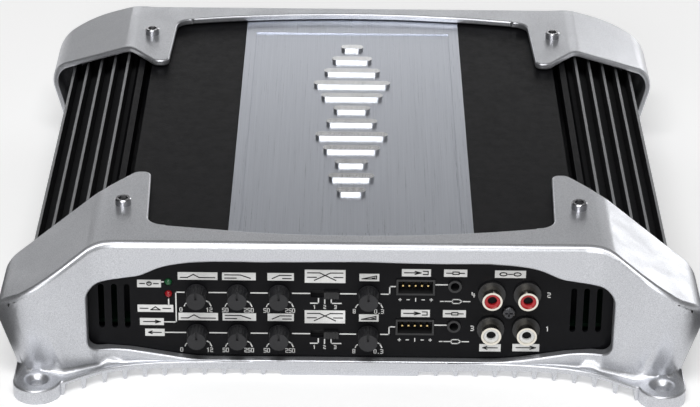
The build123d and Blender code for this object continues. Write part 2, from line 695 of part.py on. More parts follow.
def bottom_cover():
    """Flat steel cover that closes the body from below."""
    half_len = PANEL_BACK - HOLE_CLEAR
    cover = block(-BOTTOM_HALF_W, BOTTOM_HALF_W, -half_len, half_len, FOOT_THICK, COVER_TOP)
    for side in (1, -1):
        for y in COVER_SCREW_YS:
            cover -= rod_z(side * COVER_SCREW_X, y, PAN_SHANK_R + PASS_CLEAR,
                           FOOT_THICK - 1, COVER_TOP + 1)
    return cover


def main_board():
    """Circuit board that slides into the ledges of the heatsink."""
    half_w = SINK_SIDE - SINK_WALL - BOARD_CLEAR
    return block(-half_w, half_w, -CONTROL_Y + BOARD_THICK + BOARD_CLEAR,
                 PANEL_BACK - HOLE_CLEAR, BOARD_Z, BOARD_TOP)


def control_board():
    """Upright board that carries the controls and the signal connectors."""
    half_w = RAIL_X - CONTROL_BOARD_SIDE
    high = DECK_TOP - DECK_THICK - CONTROL_BOARD_DROP
    return block(-half_w, half_w, -CONTROL_Y, -CONTROL_Y + BOARD_THICK,
                 CONTROL_BOARD_LOW, high)


# ---------------------------------------------------------------- controls

def knob():
    """Fluted knob pointing up, its base at y = 0 and its bore on the Y axis."""
    body = Rot(90, 0, 0) * Cone(KNOB_R_BASE, KNOB_R_TIP, KNOB_LEN,
                                align=(Align.CENTER, Align.CENTER, Align.MIN))
    for index in range(KNOB_FLUTES):
        angle = 2 * math.pi * (index + 0.5) / KNOB_FLUTES
        x, z = KNOB_R_BASE * math.sin(angle), KNOB_R_BASE * math.cos(angle)
        body -= rod_y(x, z, KNOB_FLUTE_R, -KNOB_LEN - 1, -1.0)
    body -= block(-KNOB_POINTER_W / 2, KNOB_POINTER_W / 2, -KNOB_LEN - 1,
                  -KNOB_LEN + KNOB_POINTER_DEEP, 0.6, KNOB_R_BASE + 1)
    return body - rod_y(0, 0, SHAFT_R + SHAFT_SEAT, -SHAFT_IN_KNOB, 1.0)


def pot_front():
    """Where the face of a potentiometer lies, behind the front panel."""
    return -CONTROL_Y - POT_DEEP


def shaft():
    """Potentiometer shaft, from its bore in the body into the knob."""
    inner = pot_front() + POT_BORE_DEEP - 0.5
    tip = -PANEL_Y - KNOB_GAP - SHAFT_IN_KNOB + 0.2
    return rod_y(0, 0, SHAFT_R, tip, inner)


def potentiometers():
    """Square potentiometer bodies on the control board, each bored for its shaft."""
    half = POT_SIZE / 2
    body = block(-half, half, pot_front(), -CONTROL_Y, -half, half)
    bore = rod_y(0, 0, SHAFT_R + SHAFT_RUN, pot_front() - 1, pot_front() + POT_BORE_DEEP)
    body -= bore
    return group(Pos(x, 0, z) * body for z in ROWS.values() for x in KNOB_COLUMNS.values())


def slide_switches():
    """Three-position slide switch bodies behind the panel, open towards their slots."""
    half_w, half_h = SWITCH_BODY[0] / 2, SWITCH_BODY[1] / 2
    body = block(-half_w, half_w, -PANEL_BACK, -CONTROL_Y, -half_h, half_h)
    body -= block(-SLOT_W / 2, SLOT_W / 2, -PANEL_BACK - 1, -PANEL_BACK + LEVER_IN + 0.4,
                  -SLOT_H / 2, SLOT_H / 2)
    return group(Pos(SWITCH_X, 0, z) * body for z in ROWS.values())


def switch_lever():
    """Ridged switch lever at the right-hand end of its slot, on the row's line."""
    right = SWITCH_X + SLOT_W / 2 - LEVER_CLEAR
    half_h = SLOT_H / 2 - LEVER_CLEAR
    lever = block(right - LEVER_W, right, -PANEL_Y - LEVER_OUT, -PANEL_BACK + LEVER_IN,
                  -half_h, half_h)
    for share in (0.2, 0.4, 0.6, 0.8):
        x = right - share * LEVER_W
        lever -= block(x - 0.25, x + 0.25, -PANEL_Y - LEVER_OUT - 1,
                       -PANEL_Y - LEVER_OUT + 0.5, -half_h, half_h)
    return lever


# ---------------------------------------------------------------- signal connectors

def rca_housing():
    """Black block behind the panel with a round collar through it for each socket."""
    out = RCA_COLLAR_R + RCA_MARGIN
    body = block(RCA_COLUMNS[0] - out, RCA_COLUMNS[1] + out, -PANEL_BACK, -CONTROL_Y,
                 RCA_WHITE_Z - out, RCA_RED_Z + out)
    for x in RCA_COLUMNS:
        for z in (RCA_RED_Z, RCA_WHITE_Z):
            body += rod_y(x, z, RCA_COLLAR_R, -PANEL_Y - RCA_COLLAR_OUT, -PANEL_BACK + 1)
    return body - rod_y(*RCA_SCREW, PAN_SHANK_R + THREAD_CLEAR, -PANEL_BACK - 1,
                        -PANEL_BACK + PAN_LEN)


def rca_shell(x, z):
    """Round metal shell of one socket."""
    base, mouth = -PANEL_Y - RCA_COLLAR_OUT, -PANEL_Y - RCA_OUT
    return rod_y(x, z, RCA_SHELL_R, mouth, base) - rod_y(
        x, z, RCA_SHELL_R - RCA_SHELL_WALL, mouth - 1, base + 1)


def rca_insert(x, z):
    """Coloured plastic insert with the plug's hole, inside one shell."""
    base, mouth = -PANEL_Y - RCA_COLLAR_OUT, -PANEL_Y - RCA_OUT + RCA_SINK
    outer = RCA_SHELL_R - RCA_SHELL_WALL - SHAFT_SEAT
    return rod_y(x, z, outer, mouth, base) - rod_y(x, z, RCA_HOLE_R, mouth - 1, base + 1)


def input_headers():
    """Rectangular sockets for the high-level input plugs."""
    solids = []
    for row in ROWS.values():
        z = row + HEADER_RISE
        mouth = -PANEL_Y - HEADER_OUT
        half_w, half_h = HEADER_W / 2, HEADER_H / 2
        body = block(HEADER_X - half_w, HEADER_X + half_w, mouth, -CONTROL_Y,
                     z - half_h, z + half_h)
        solids.append(body - block(HEADER_X - half_w + HEADER_WALL,
                                   HEADER_X + half_w - HEADER_WALL,
                                   mouth - 1, mouth + HEADER_DEEP,
                                   z - half_h + HEADER_WALL, z + half_h - HEADER_WALL))
    return group(solids)


def header_pins():
    """Square contact pins that stand in the input sockets."""
    solids = []
    floor = -PANEL_Y - HEADER_OUT + HEADER_DEEP
    for row in ROWS.values():
        z = row + HEADER_RISE
        for index in range(HEADER_PINS):
            x = HEADER_X + (index - (HEADER_PINS - 1) / 2) * HEADER_PITCH
            solids.append(block(x - PIN_W / 2, x + PIN_W / 2, floor - HEADER_DEEP + 1.5,
                                floor, z - PIN_W / 2, z + PIN_W / 2))
    return group(solids)


def aux_jacks():
    """3.5 mm sockets: a block behind the panel with a round nose through it."""
    solids = []
    for row in ROWS.values():
        z = row + AUX_RISE
        half = AUX_BODY / 2
        mouth = -PANEL_Y - AUX_OUT
        body = block(AUX_X - half, AUX_X + half, -PANEL_BACK, -CONTROL_Y, z - half, z + half)
        body += rod_y(AUX_X, z, AUX_NOSE_R, mouth, -PANEL_BACK + 1)
        solids.append(body - rod_y(AUX_X, z, AUX_R, mouth - 1, mouth + AUX_DEEP))
    return group(solids)


def led(z):
    """Round-nosed lamp standing on the control board."""
    nose = -PANEL_Y - LED_OUT + LED_R
    return rod_y(LED_X, z, LED_R, nose, -CONTROL_Y) + Pos(LED_X, nose, z) * Sphere(LED_R)


# ---------------------------------------------------------------- terminals and fuses

def terminal_spans():
    """Low x, high x and top of the power block and the speaker block."""
    spans = []
    for x, count, pitch, high in ((POWER_X, POWER_COUNT, POWER_PITCH, POWER_HIGH),
                                  (SPEAKER_X, SPEAKER_COUNT, SPEAKER_PITCH, SPEAKER_HIGH)):
        half = count * pitch / 2 + BLOCK_END
        spans.append((x - half, x + half, BOARD_TOP + high))
    return spans


def rear_screw_places():
    """Panel screws above the outer corners of each terminal block."""
    return [(x, z1 + FLANGE_RISE / 2 + HOLE_CLEAR) for x0, x1, z1 in terminal_spans()
            for x in (x0 + FLANGE_RISE / 2, x1 - FLANGE_RISE / 2)]


def terminal_places(middle, count, pitch):
    """X positions of a row of terminals."""
    return [middle + (index - (count - 1) / 2) * pitch for index in range(count)]


def terminal_block(span, xs, clamp, screw_r):
    """Insulating block with an open pocket for the clamp of every terminal."""
    x0, x1, z1 = span
    end = PANEL_Y + TERMINAL_OUT
    body = block(x0, x1, PANEL_BACK - TERMINAL_IN, end, BOARD_TOP, z1)
    body += block(x0, x1, PANEL_BACK - BLOCK_FLANGE, PANEL_BACK, z1 - 1, z1 + FLANGE_RISE)
    wide, deep, high = clamp
    low = BOARD_TOP + (z1 - BOARD_TOP - high) / 2
    for x in xs:
        body -= block(x - wide / 2, x + wide / 2, end - deep, end + 1, low, low + high)
        body -= rod_z(x, PANEL_Y + TERMINAL_SCREW_OUT, screw_r + HOLE_CLEAR, low + high - 1,
                      z1 + 1)
    for x, z in rear_screw_places():
        if x0 < x < x1:
            body -= rod_y(x, z, PAN_SHANK_R + THREAD_CLEAR, PANEL_BACK - BLOCK_FLANGE - 1,
                          PANEL_BACK + 1)
    return body


def terminal_clamps(span, xs, clamp, bore_r, screw_r):
    """Brass clamps, each bored for its wire and tapped from above."""
    wide, deep, high = clamp
    low = BOARD_TOP + (span[2] - BOARD_TOP - high) / 2
    end = PANEL_Y + TERMINAL_OUT
    middle = low + high / 2 - (high / 2 - bore_r) / 3
    solids = []
    for x in xs:
        body = block(x - wide / 2, x + wide / 2, end - deep, end - 0.8, low, low + high)
        body -= rod_y(x, middle, bore_r, end - deep - 1, end + 1)
        solids.append(body - rod_z(x, PANEL_Y + TERMINAL_SCREW_OUT, screw_r + THREAD_CLEAR,
                                   middle, low + high + 1))
    return group(solids)


def terminal_screws(span, xs, clamp, bore_r, screw_r):
    """Slotted grub screws in the clamps, backed out so that the wire ways are clear."""
    high = clamp[2]
    low = BOARD_TOP + (span[2] - BOARD_TOP - high) / 2
    middle = low + high / 2 - (high / 2 - bore_r) / 3
    top = span[2] - 0.4
    solids = []
    for x in xs:
        y = PANEL_Y + TERMINAL_SCREW_OUT
        body = rod_z(x, y, screw_r, middle + bore_r, top)
        solids.append(body - Pos(x, y, top) * Box(2 * screw_r, CROSS_W, 1.6))
    return group(solids)


def fuse_holder():
    """Insulating holder on the board with a pocket for each blade fuse."""
    x0, x1, z1 = FUSE_HOLDER
    mouth = PANEL_Y + FUSE_FIT
    body = block(x0, x1, PANEL_BACK - TERMINAL_IN - 6, mouth, BOARD_TOP, z1)
    wide, long, tall = FUSE_BODY
    seat = PANEL_Y + FUSE_OUT - long
    for x in FUSE_XS.values():
        body -= block(x - wide / 2 - FUSE_FIT, x + wide / 2 + FUSE_FIT, seat, mouth + 1,
                      FUSE_Z - tall / 2 - FUSE_FIT, FUSE_Z + tall / 2 + FUSE_FIT)
        for side in (1, -1):
            z = FUSE_Z + side * FUSE_BLADE_RISE
            body -= block(x - FUSE_BLADE[0] / 2 - FUSE_FIT, x + FUSE_BLADE[0] / 2 + FUSE_FIT,
                          seat - FUSE_BLADE[1] - FUSE_FIT, seat + 1,
                          z - FUSE_BLADE[2] / 2 - FUSE_FIT, z + FUSE_BLADE[2] / 2 + FUSE_FIT)
    return body


def blade_fuse(x):
    """Plug-in fuse: a plastic body with a thumb step and two flat blades."""
    wide, long, tall = FUSE_BODY
    seat = PANEL_Y + FUSE_OUT - long
    body = block(x - wide / 2, x + wide / 2, seat + FUSE_FIT, seat + long,
                 FUSE_Z - tall / 2, FUSE_Z + tall / 2)
    for side in (1, -1):
        body -= block(x + side * wide / 2, x + side * (wide / 2 - 0.9), seat - 1,
                      seat + long - 2.5, FUSE_Z - tall / 2 + 4, FUSE_Z + tall / 2 - 4)
        z = FUSE_Z + side * FUSE_BLADE_RISE
        body += block(x - FUSE_BLADE[0] / 2, x + FUSE_BLADE[0] / 2, seat - FUSE_BLADE[1],
                      seat + 1, z - FUSE_BLADE[2] / 2, z + FUSE_BLADE[2] / 2)
    return body


# ---------------------------------------------------------------- fasteners

def socket_screw():
    """Hex socket screw standing on z = 0, its shank below."""
    head = Pos(0, 0, SCREW_HEAD_H / 2) * Cylinder(SCREW_HEAD_R, SCREW_HEAD_H)
    head = chamfer(head.edges().group_by(Axis.Z)[-1], 0.35)
    socket = extrude(RegularPolygon(SCREW_SOCKET_R, 6), amount=SCREW_SOCKET_DEEP + 1)
    return (head - Pos(0, 0, SCREW_HEAD_H - SCREW_SOCKET_DEEP) * socket) + rod_z(
        0, 0, SCREW_SHANK_R, -SCREW_LEN, 0.5)


def pan_screw():
    """Cross-slotted pan head screw standing on z = 0, its shank below."""
    head = Pos(0, 0, PAN_HEAD_H / 2) * Cylinder(PAN_HEAD_R, PAN_HEAD_H)
    head = fillet(head.edges().group_by(Axis.Z)[-1], 0.9)
    for wide, long in ((CROSS_W, CROSS_LONG), (CROSS_LONG, CROSS_W)):
        head -= Pos(0, 0, PAN_HEAD_H) * Box(wide, long, 1.8)
    return head + rod_z(0, 0, PAN_SHANK_R, -PAN_LEN, 0.4)


def end_cap_screws():
    screw = socket_screw()
    return group(Pos(sx * EAR_SCREW[0], sy * EAR_SCREW[1], CAP_TOP) * screw
                 for sx in (1, -1) for sy in (1, -1))


def cover_screws():
    screw = Rot(180, 0, 0) * pan_screw()
    return group(Pos(side * COVER_SCREW_X, y, FOOT_THICK) * screw
                 for side in (1, -1) for y in COVER_SCREW_YS)


def panel_screws():
    """One screw holds the round sockets in front; the others hold the terminal blocks."""
    front = Rot(90, 0, 0) * pan_screw()
    rear = Rot(-90, 0, 0) * pan_screw()
    solids = [Pos(RCA_SCREW[0], -PANEL_Y, RCA_SCREW[1]) * front]
    solids += [Pos(x, PANEL_Y, z) * rear for x, z in rear_screw_places()]
    return group(solids)


# ---------------------------------------------------------------- power stage

def transistor_ys():
    return terminal_places(0.0, TRANSISTORS_PER_SIDE, TRANSISTOR_PITCH)


def clamp_screw_ys():
    """Clamp screws stand midway between the transistors."""
    ys = transistor_ys()
    return [(a + b) / 2 for a, b in zip(ys, ys[1:])]


def rail_block(side, near, far, y0, y1, z0, z1):
    """A box measured inwards from the rail's inner face on one side."""
    return block(side * (RAIL_X - near), side * (RAIL_X - far), y0, y1, z0, z1)


def power_transistors():
    deep, wide, high = TRANSISTOR
    return group(rail_block(side, PAD_THICK, PAD_THICK + deep, y - wide / 2, y + wide / 2,
                            TRANSISTOR_Z, TRANSISTOR_Z + high)
                 for side in (1, -1) for y in transistor_ys())


def insulator_pads():
    wide, high = TRANSISTOR[1] + 2, TRANSISTOR[2] + 1
    return group(rail_block(side, 0, PAD_THICK, y - wide / 2, y + wide / 2,
                            TRANSISTOR_Z - 0.5, TRANSISTOR_Z - 0.5 + high)
                 for side in (1, -1) for y in transistor_ys())


def clamp_bars():
    near = PAD_THICK + TRANSISTOR[0]
    far = near + CLAMP_BAR[0]
    reach = transistor_ys()[-1] + TRANSISTOR[1] / 2
    bars = []
    for side in (1, -1):
        bar = rail_block(side, near, far, -reach, reach,
                         CLAMP_Z - CLAMP_BAR[1] / 2, CLAMP_Z + CLAMP_BAR[1] / 2)
        for y in clamp_screw_ys():
            hole = Cylinder(PAN_SHANK_R + PASS_CLEAR, 3 * CLAMP_BAR[0])
            bar -= Pos(side * (RAIL_X - (near + far) / 2), y, CLAMP_Z) * Rot(0, 90, 0) * hole
        bars.append(bar)
    return group(bars)


def clamp_screws():
    """Long screws from the bars through to the rails."""
    face = PAD_THICK + TRANSISTOR[0] + CLAMP_BAR[0]
    solids = []
    for side in (1, -1):
        for y in clamp_screw_ys():
            head = Cylinder(PAN_HEAD_R, PAN_HEAD_H)
            shank = Cylinder(PAN_SHANK_R, face + RAIL_THICK)
            x_head = side * (RAIL_X - face - PAN_HEAD_H / 2)
            x_shank = side * (RAIL_X + (RAIL_THICK - face) / 2)
            solids.append((Pos(x_head, y, CLAMP_Z) * Rot(0, 90, 0) * head) +
                          (Pos(x_shank, y, CLAMP_Z) * Rot(0, 90, 0) * shank))
    return group(solids)


def capacitors():
    can = rod_z(0, 0, CAPACITOR_R, BOARD_TOP, BOARD_TOP + CAPACITOR_HIGH)
    can = fillet(can.edges().group_by(Axis.Z)[-1], 1.0)
    return group(Pos(x, y, 0) * can for x in CAPACITOR_XS for y in CAPACITOR_YS)


def toroid_core():
    """Ring core of the supply transformer."""
    outer, inner, high = TOROID
    x, y = TOROID_AT
    low = BOARD_TOP + TOROID_RISE
    return rod_z(x, y, outer, low, low + high) - rod_z(x, y, inner, low - 1, low + high + 1)


def toroid_winding():
    """Flat wire turns wrapped round the ring core."""
    outer, inner, high = TOROID
    middle = (outer + inner) / 2
    hole_w, hole_h = outer - inner + 2 * WIRE_FIT, high + 2 * WIRE_FIT
    turn = Box(hole_w + 2 * WIRE_THICK, WIRE_WIDE, hole_h + 2 * WIRE_THICK)
    turn -= Box(hole_w, WIRE_WIDE + 1, hole_h)
    at = Pos(*TOROID_AT, BOARD_TOP + TOROID_RISE + high / 2)
    return group(at * Rot(0, 0, 360 * index / TURNS) * Pos(middle, 0, 0) * turn
                 for index in range(TURNS))


def output_coils():
    """Small filter coils, each a short round body on the board."""
    coil = rod_z(0, 0, COIL_R, BOARD_TOP, BOARD_TOP + COIL_HIGH) - rod_z(
        0, 0, COIL_R / 3, BOARD_TOP - 1, BOARD_TOP + COIL_HIGH + 1)
    return group(Pos(x, COIL_Y, 0) * coil for x in COIL_XS)


# ---------------------------------------------------------------- the whole amplifier

def all_parts():
    """Every node by name, in place."""
    power_span, speaker_span = terminal_spans()
    power_xs = terminal_places(POWER_X, POWER_COUNT, POWER_PITCH)
    speaker_xs = terminal_places(SPEAKER_X, SPEAKER_COUNT, SPEAKER_PITCH)
    front_cap = end_cap()
    parts = {
        "heatsink": heatsink(),
        "top_plate": top_plate(),
        "emblem": emblem(),
        "front_end_cap": front_cap,
        "rear_end_cap": turned_end(front_cap),
        "end_cap_screws": end_cap_screws(),
        "front_panel": front_panel(),
        "rear_panel": rear_panel(),
        "panel_screws": panel_screws(),
        "bottom_cover": bottom_cover(),
        "cover_screws": cover_screws(),
        "main_board": main_board(),
        "control_board": control_board(),
        "potentiometers": potentiometers(),
        "slide_switches": slide_switches(),
        "rca_housing": rca_housing(),
        "rca_shells": group(rca_shell(x, z) for x in RCA_COLUMNS
                            for z in (RCA_RED_Z, RCA_WHITE_Z)),
        "rca_red_inserts": group(rca_insert(x, RCA_RED_Z) for x in RCA_COLUMNS),
        "rca_white_inserts": group(rca_insert(x, RCA_WHITE_Z) for x in RCA_COLUMNS),
        "input_headers": input_headers(),
        "header_pins": header_pins(),
        "aux_jacks": aux_jacks(),
        "power_led": led(LED_GREEN_Z),
        "protection_led": led(LED_RED_Z),
        "power_terminal_block": terminal_block(power_span, power_xs, POWER_CLAMP,
                                               POWER_SCREW_R),
        "power_terminal_clamps": terminal_clamps(power_span, power_xs, POWER_CLAMP,
                                                 POWER_BORE_R, POWER_SCREW_R),
        "power_terminal_screws": terminal_screws(power_span, power_xs, POWER_CLAMP,
                                                 POWER_BORE_R, POWER_SCREW_R),
        "speaker_terminal_block": terminal_block(speaker_span, speaker_xs, SPEAKER_CLAMP,
                                                 SPEAKER_SCREW_R),
        "speaker_terminal_clamps": terminal_clamps(speaker_span, speaker_xs, SPEAKER_CLAMP,
                                                   SPEAKER_BORE_R, SPEAKER_SCREW_R),
        "speaker_terminal_screws": terminal_screws(speaker_span, speaker_xs, SPEAKER_CLAMP,
                                                   SPEAKER_BORE_R, SPEAKER_SCREW_R),
        "fuse_holder": fuse_holder(),
        "power_transistors": power_transistors(),
        "insulator_pads": insulator_pads(),
        "clamp_bars": clamp_bars(),
        "clamp_screws": clamp_screws(),
        "capacitors": capacitors(),
        "toroid_core": toroid_core(),
        "toroid_winding": toroid_winding(),
        "output_coils": output_coils(),
    }
    for name, x in FUSE_XS.items():
        parts[f"{name}_blade_fuse"] = blade_fuse(x)
    one_knob, one_shaft, lever = knob(), shaft(), switch_lever()
    for row, z in ROWS.items():
        parts[f"{row}_crossover_lever"] = Pos(0, 0, z) * lever
        for column, x in KNOB_COLUMNS.items():
            parts[f"{row}_{column}_knob"] = Pos(x, -PANEL_Y - KNOB_GAP, z) * one_knob
            parts[f"{row}_{column}_shaft"] = Pos(x, 0, z) * one_shaft
    return parts


os.makedirs("parts", exist_ok=True)
built = all_parts()
for node, shape in built.items():
    export_step(shape, f"parts/{node}.step")
print(len(built), "nodes written")
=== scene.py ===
# %% [markdown]
# # A car amplifier
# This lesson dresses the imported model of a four-channel car amplifier: a black finned
# extrusion with a brushed centre plate, closed at both ends by cast silver caps.
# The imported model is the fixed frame. It already has every part at its real size, so the
# lesson adds softened edges, printed marks and surface finishes around it.

# %% Load the frame
import json
import math

import bmesh
import bpy
from mathutils import Matrix, Vector


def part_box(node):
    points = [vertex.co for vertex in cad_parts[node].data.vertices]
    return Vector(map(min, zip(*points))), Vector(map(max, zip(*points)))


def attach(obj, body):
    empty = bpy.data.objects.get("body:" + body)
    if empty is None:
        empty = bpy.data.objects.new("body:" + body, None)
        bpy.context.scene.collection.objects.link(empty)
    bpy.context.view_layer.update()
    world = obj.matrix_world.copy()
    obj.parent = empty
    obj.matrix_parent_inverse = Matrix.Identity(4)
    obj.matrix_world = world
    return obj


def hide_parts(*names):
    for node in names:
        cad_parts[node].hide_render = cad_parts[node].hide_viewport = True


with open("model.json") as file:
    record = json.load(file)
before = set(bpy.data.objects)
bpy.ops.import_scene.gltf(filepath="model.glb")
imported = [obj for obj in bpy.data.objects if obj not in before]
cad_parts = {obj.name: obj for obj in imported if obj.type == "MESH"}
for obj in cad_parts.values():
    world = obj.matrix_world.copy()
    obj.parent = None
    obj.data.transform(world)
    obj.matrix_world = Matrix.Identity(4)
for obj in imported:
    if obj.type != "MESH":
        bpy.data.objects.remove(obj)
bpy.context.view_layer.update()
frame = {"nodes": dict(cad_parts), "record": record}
MM = 0.001
slot_of = {part["node"]: part["material_slot"] for part in frame["record"]["subparts"]}
print("nodes loaded:", len(frame["nodes"]))

# %% [markdown]
# ## Camera
# The camera stands about a metre in front of the control end and looks down at it by
# 27 degrees. A long lens at that distance keeps the far end nearly as wide as the near
# one, so the caps look alike.

# %% Camera
CAMERA_PLACE = Vector((-1.70, -1060.0, 556.0)) * MM
CAMERA_PITCH = math.radians(26.966)
CAMERA_YAW = math.radians(0.0702)
CAMERA_ROLL = math.radians(0.596)
LENS_MM = 139.27


def add_camera():
    """One camera, turned by yaw, then pitch, then roll about its own line of sight."""
    data = bpy.data.cameras.new("camera")
    data.lens = LENS_MM
    data.sensor_width = 36.0
    data.clip_end = 20.0
    camera = bpy.data.objects.new("camera", data)
    turn = (Matrix.Rotation(-CAMERA_YAW, 4, "Z")
            @ Matrix.Rotation(math.pi / 2 - CAMERA_PITCH, 4, "X")
            @ Matrix.Rotation(CAMERA_ROLL, 4, "Z"))
    camera.matrix_world = Matrix.Translation(CAMERA_PLACE) @ turn
    bpy.context.scene.collection.objects.link(camera)
    bpy.context.scene.camera = camera
    return camera


camera = add_camera()
print("camera at", [round(v, 3) for v in camera.matrix_world.translation])

# %% [markdown]
# ## Floor and dark cards
# The floor is white and glows a little, so shadows on it stay faint. Metal shows what it
# mirrors, so most of its tone comes from what stands around. A studio sets black card
# beside shiny things to give them dark edges, and so does this one: a board on the left
# and two cards flat on the floor. The camera doesn't see them, but the castings do.

# %% Floor and dark cards
FLOOR_REACH = 6.0
FLOOR_GLOW = 0.30
WHITE_PAPER = 0.90
BLACK_CARD = 0.01


def thing_from(work, name):
    """A finished bmesh becomes an object at the origin."""
    mesh = bpy.data.meshes.new(name)
    work.to_mesh(mesh)
    work.free()
    thing = bpy.data.objects.new(name, mesh)
    bpy.context.scene.collection.objects.link(thing)
    return thing


def add_sheet(name, half_size, shade, glow=0.0):
    """A square sheet of matt paper."""
    work = bmesh.new()
    bmesh.ops.create_grid(work, x_segments=1, y_segments=1, size=half_size)
    sheet = thing_from(work, name)
    material = bpy.data.materials.new(name + "_paper")
    material.use_nodes = True
    shader = material.node_tree.nodes["Principled BSDF"]
    shader.inputs["Base Color"].default_value = (shade, shade, shade, 1.0)
    shader.inputs["Roughness"].default_value = 0.9
    shader.inputs["Emission Color"].default_value = (1.0, 1.0, 1.0, 1.0)
    shader.inputs["Emission Strength"].default_value = glow
    sheet.data.materials.append(material)
    return sheet


def stand_board(name, place, turn, size):
    """An upright black board, placed by the middle of its lower edge."""
    board = add_sheet(name, 0.5, BLACK_CARD)
    stand = (Matrix.Translation(place) @ Matrix.Rotation(turn, 4, "Z")
             @ Matrix.Rotation(math.pi / 2, 4, "X"))
    board.matrix_world = (stand @ Matrix.Diagonal((*size, 1.0, 1.0))
                          @ Matrix.Translation((0.0, 0.5, 0.0)))
    board.visible_camera = False
    return board


def lay_card(name, place, size):
    """A black card flat on the floor that only glossy surfaces see."""
    card = add_sheet(name, 0.5, BLACK_CARD)
    card.matrix_world = Matrix.Translation(place) @ Matrix.Diagonal((*size, 1.0, 1.0))
    card.visible_camera = card.visible_shadow = card.visible_diffuse = False
    return card


studio = [add_sheet("floor", FLOOR_REACH, WHITE_PAPER, FLOOR_GLOW),
          stand_board("left_board", (-0.42, -0.12, 0.0), math.pi / 2, (0.75, 0.55)),
          lay_card("left_card", (-0.235, -0.10, 0.001), (0.18, 0.34)),
          lay_card("right_card", (0.215, -0.08, 0.001), (0.12, 0.30))]
print("studio sheets:", [sheet.name for sheet in studio])

# %% [markdown]
# ## Lights
# Flat tops mirror whatever is low behind the object, so a row of low panels stands there,
# bright in the middle and on the right, dim on the left. The key light is high in front
# and draws a bright line along every rounded rim. A second softbox fills the faces that
# look forwards.

# %% Lights
SKY = 0.16
AIM = (0.0, 0.0, 0.03)
# Name, place, size and power in watts of each soft panel.
PANELS = [("key_softbox", (-0.10, -0.85, 1.55), (1.3, 0.5), 17.0),
          ("front_softbox", (-0.35, -1.9, 0.75), (1.0, 0.5), 12.0),
          ("rear_low_panel", (0.0, 1.9, 0.48), (1.5, 0.62), 5.0),
          ("rear_right_panel", (1.25, 1.6, 0.40), (0.8, 0.6), 5.0),
          ("rear_left_panel", (-1.25, 1.6, 0.40), (0.8, 0.6), 0.9)]


def add_panel_light(name, place, size, power):
    """A rectangular soft light at a place, turned to face the object."""
    data = bpy.data.lights.new(name, "AREA")
    data.shape = "RECTANGLE"
    data.size, data.size_y = size
    data.energy = power
    light = bpy.data.objects.new(name, data)
    direction = Vector(AIM) - Vector(place)
    light.location = place
    light.rotation_euler = direction.to_track_quat("-Z", "Y").to_euler()
    bpy.context.scene.collection.objects.link(light)
    return light


def add_sky(strength):
    """Even pale light from all round."""
    world = bpy.data.worlds.new("studio")
    world.use_nodes = True
    background = world.node_tree.nodes["Background"]
    background.inputs["Color"].default_value = (1.0, 1.0, 1.0, 1.0)
    background.inputs["Strength"].default_value = strength
    bpy.context.scene.world = world


add_sky(SKY)
lights = [add_panel_light(*panel) for panel in PANELS]
bpy.context.scene.view_settings.view_transform = "Standard"
print("lit by", [light.name for light in lights])

# %% [markdown]
# ## A small kit for finishes
# Every finish starts from one Principled shader. Plain numbers go straight onto its
# sockets; only what varies over the surface comes in through a link. Patterns read Object
# coordinates, which are the model's own metres, so a grain has the same size on all parts.

# %% Finish kit
def new_finish(name, color, metallic=0.0, roughness=0.5, **sockets):
    """A material with one shader; extra sockets are given with _ for the spaces."""
    material = bpy.data.materials.new(name)
    material.use_nodes = True
    shader = material.node_tree.nodes["Principled BSDF"]
    shader.inputs["Base Color"].default_value = (*color, 1.0)
    shader.inputs["Metallic"].default_value = metallic
    shader.inputs["Roughness"].default_value = roughness
    for socket, value in sockets.items():
        shader.inputs[socket.replace("_", " ")].default_value = value
    return material


def node(material, kind, **inputs):
    """A new node with some of its inputs set by name."""
    made = material.node_tree.nodes.new(kind)
    for name, value in inputs.items():
        made.inputs[name.replace("_", " ")].default_value = value
    return made


def link(material, source, target):
    material.node_tree.links.new(source, target)


def shader_of(material):
    return material.node_tree.nodes["Principled BSDF"]


def place_on_object(material, stretch=(1.0, 1.0, 1.0)):
    """Object coordinates, stretched: a number under 1 draws the pattern out that way."""
    source = material.node_tree.nodes.new("ShaderNodeTexCoord")
    mapping = material.node_tree.nodes.new("ShaderNodeMapping")
    mapping.inputs["Scale"].default_value = stretch
    link(material, source.outputs["Object"], mapping.inputs["Vector"])
    return mapping.outputs["Vector"]


def noise(material, vector, scale, detail=4.0, rough=0.6):
    made = node(material, "ShaderNodeTexNoise", Scale=scale, Detail=detail, Roughness=rough)
    link(material, vector, made.inputs["Vector"])
    return made.outputs["Fac"]


def ramp(material, value, low, high, dark, light):
    """Value from low to high becomes colour from dark to light."""
    made = material.node_tree.nodes.new("ShaderNodeValToRGB")
    first, last = made.color_ramp.elements
    first.position, last.position = low, high
    first.color = (*dark, 1.0)
    last.color = (*light, 1.0)
    link(material, value, made.inputs["Fac"])
    return made.outputs["Color"]


def spread(material, value, low, high):
    """Value from 0.3 to 0.7 becomes a number from low to high."""
    made = node(material, "ShaderNodeMapRange")
    made.inputs["From Min"].default_value = 0.3
    made.inputs["From Max"].default_value = 0.7
    made.inputs["To Min"].default_value = low
    made.inputs["To Max"].default_value = high
    link(material, value, made.inputs["Value"])
    return made.outputs["Result"]


def maths(material, operation, first, second=None, third=None):
    """A Math node. Each input is a number or another node's output."""
    made = material.node_tree.nodes.new("ShaderNodeMath")
    made.operation = operation
    for socket, value in zip(made.inputs, (first, second, third)):
        if isinstance(value, float):
            socket.default_value = value
        elif value is not None:
            link(material, value, socket)
    return made.outputs["Value"]


def bump(material, height, strength, distance):
    """Fine relief in metres, sent to the shader's normal."""
    made = node(material, "ShaderNodeBump", Strength=strength, Distance=distance)
    link(material, height, made.inputs["Height"])
    link(material, made.outputs["Normal"], shader_of(material).inputs["Normal"])
    return made


print("finish kit ready")
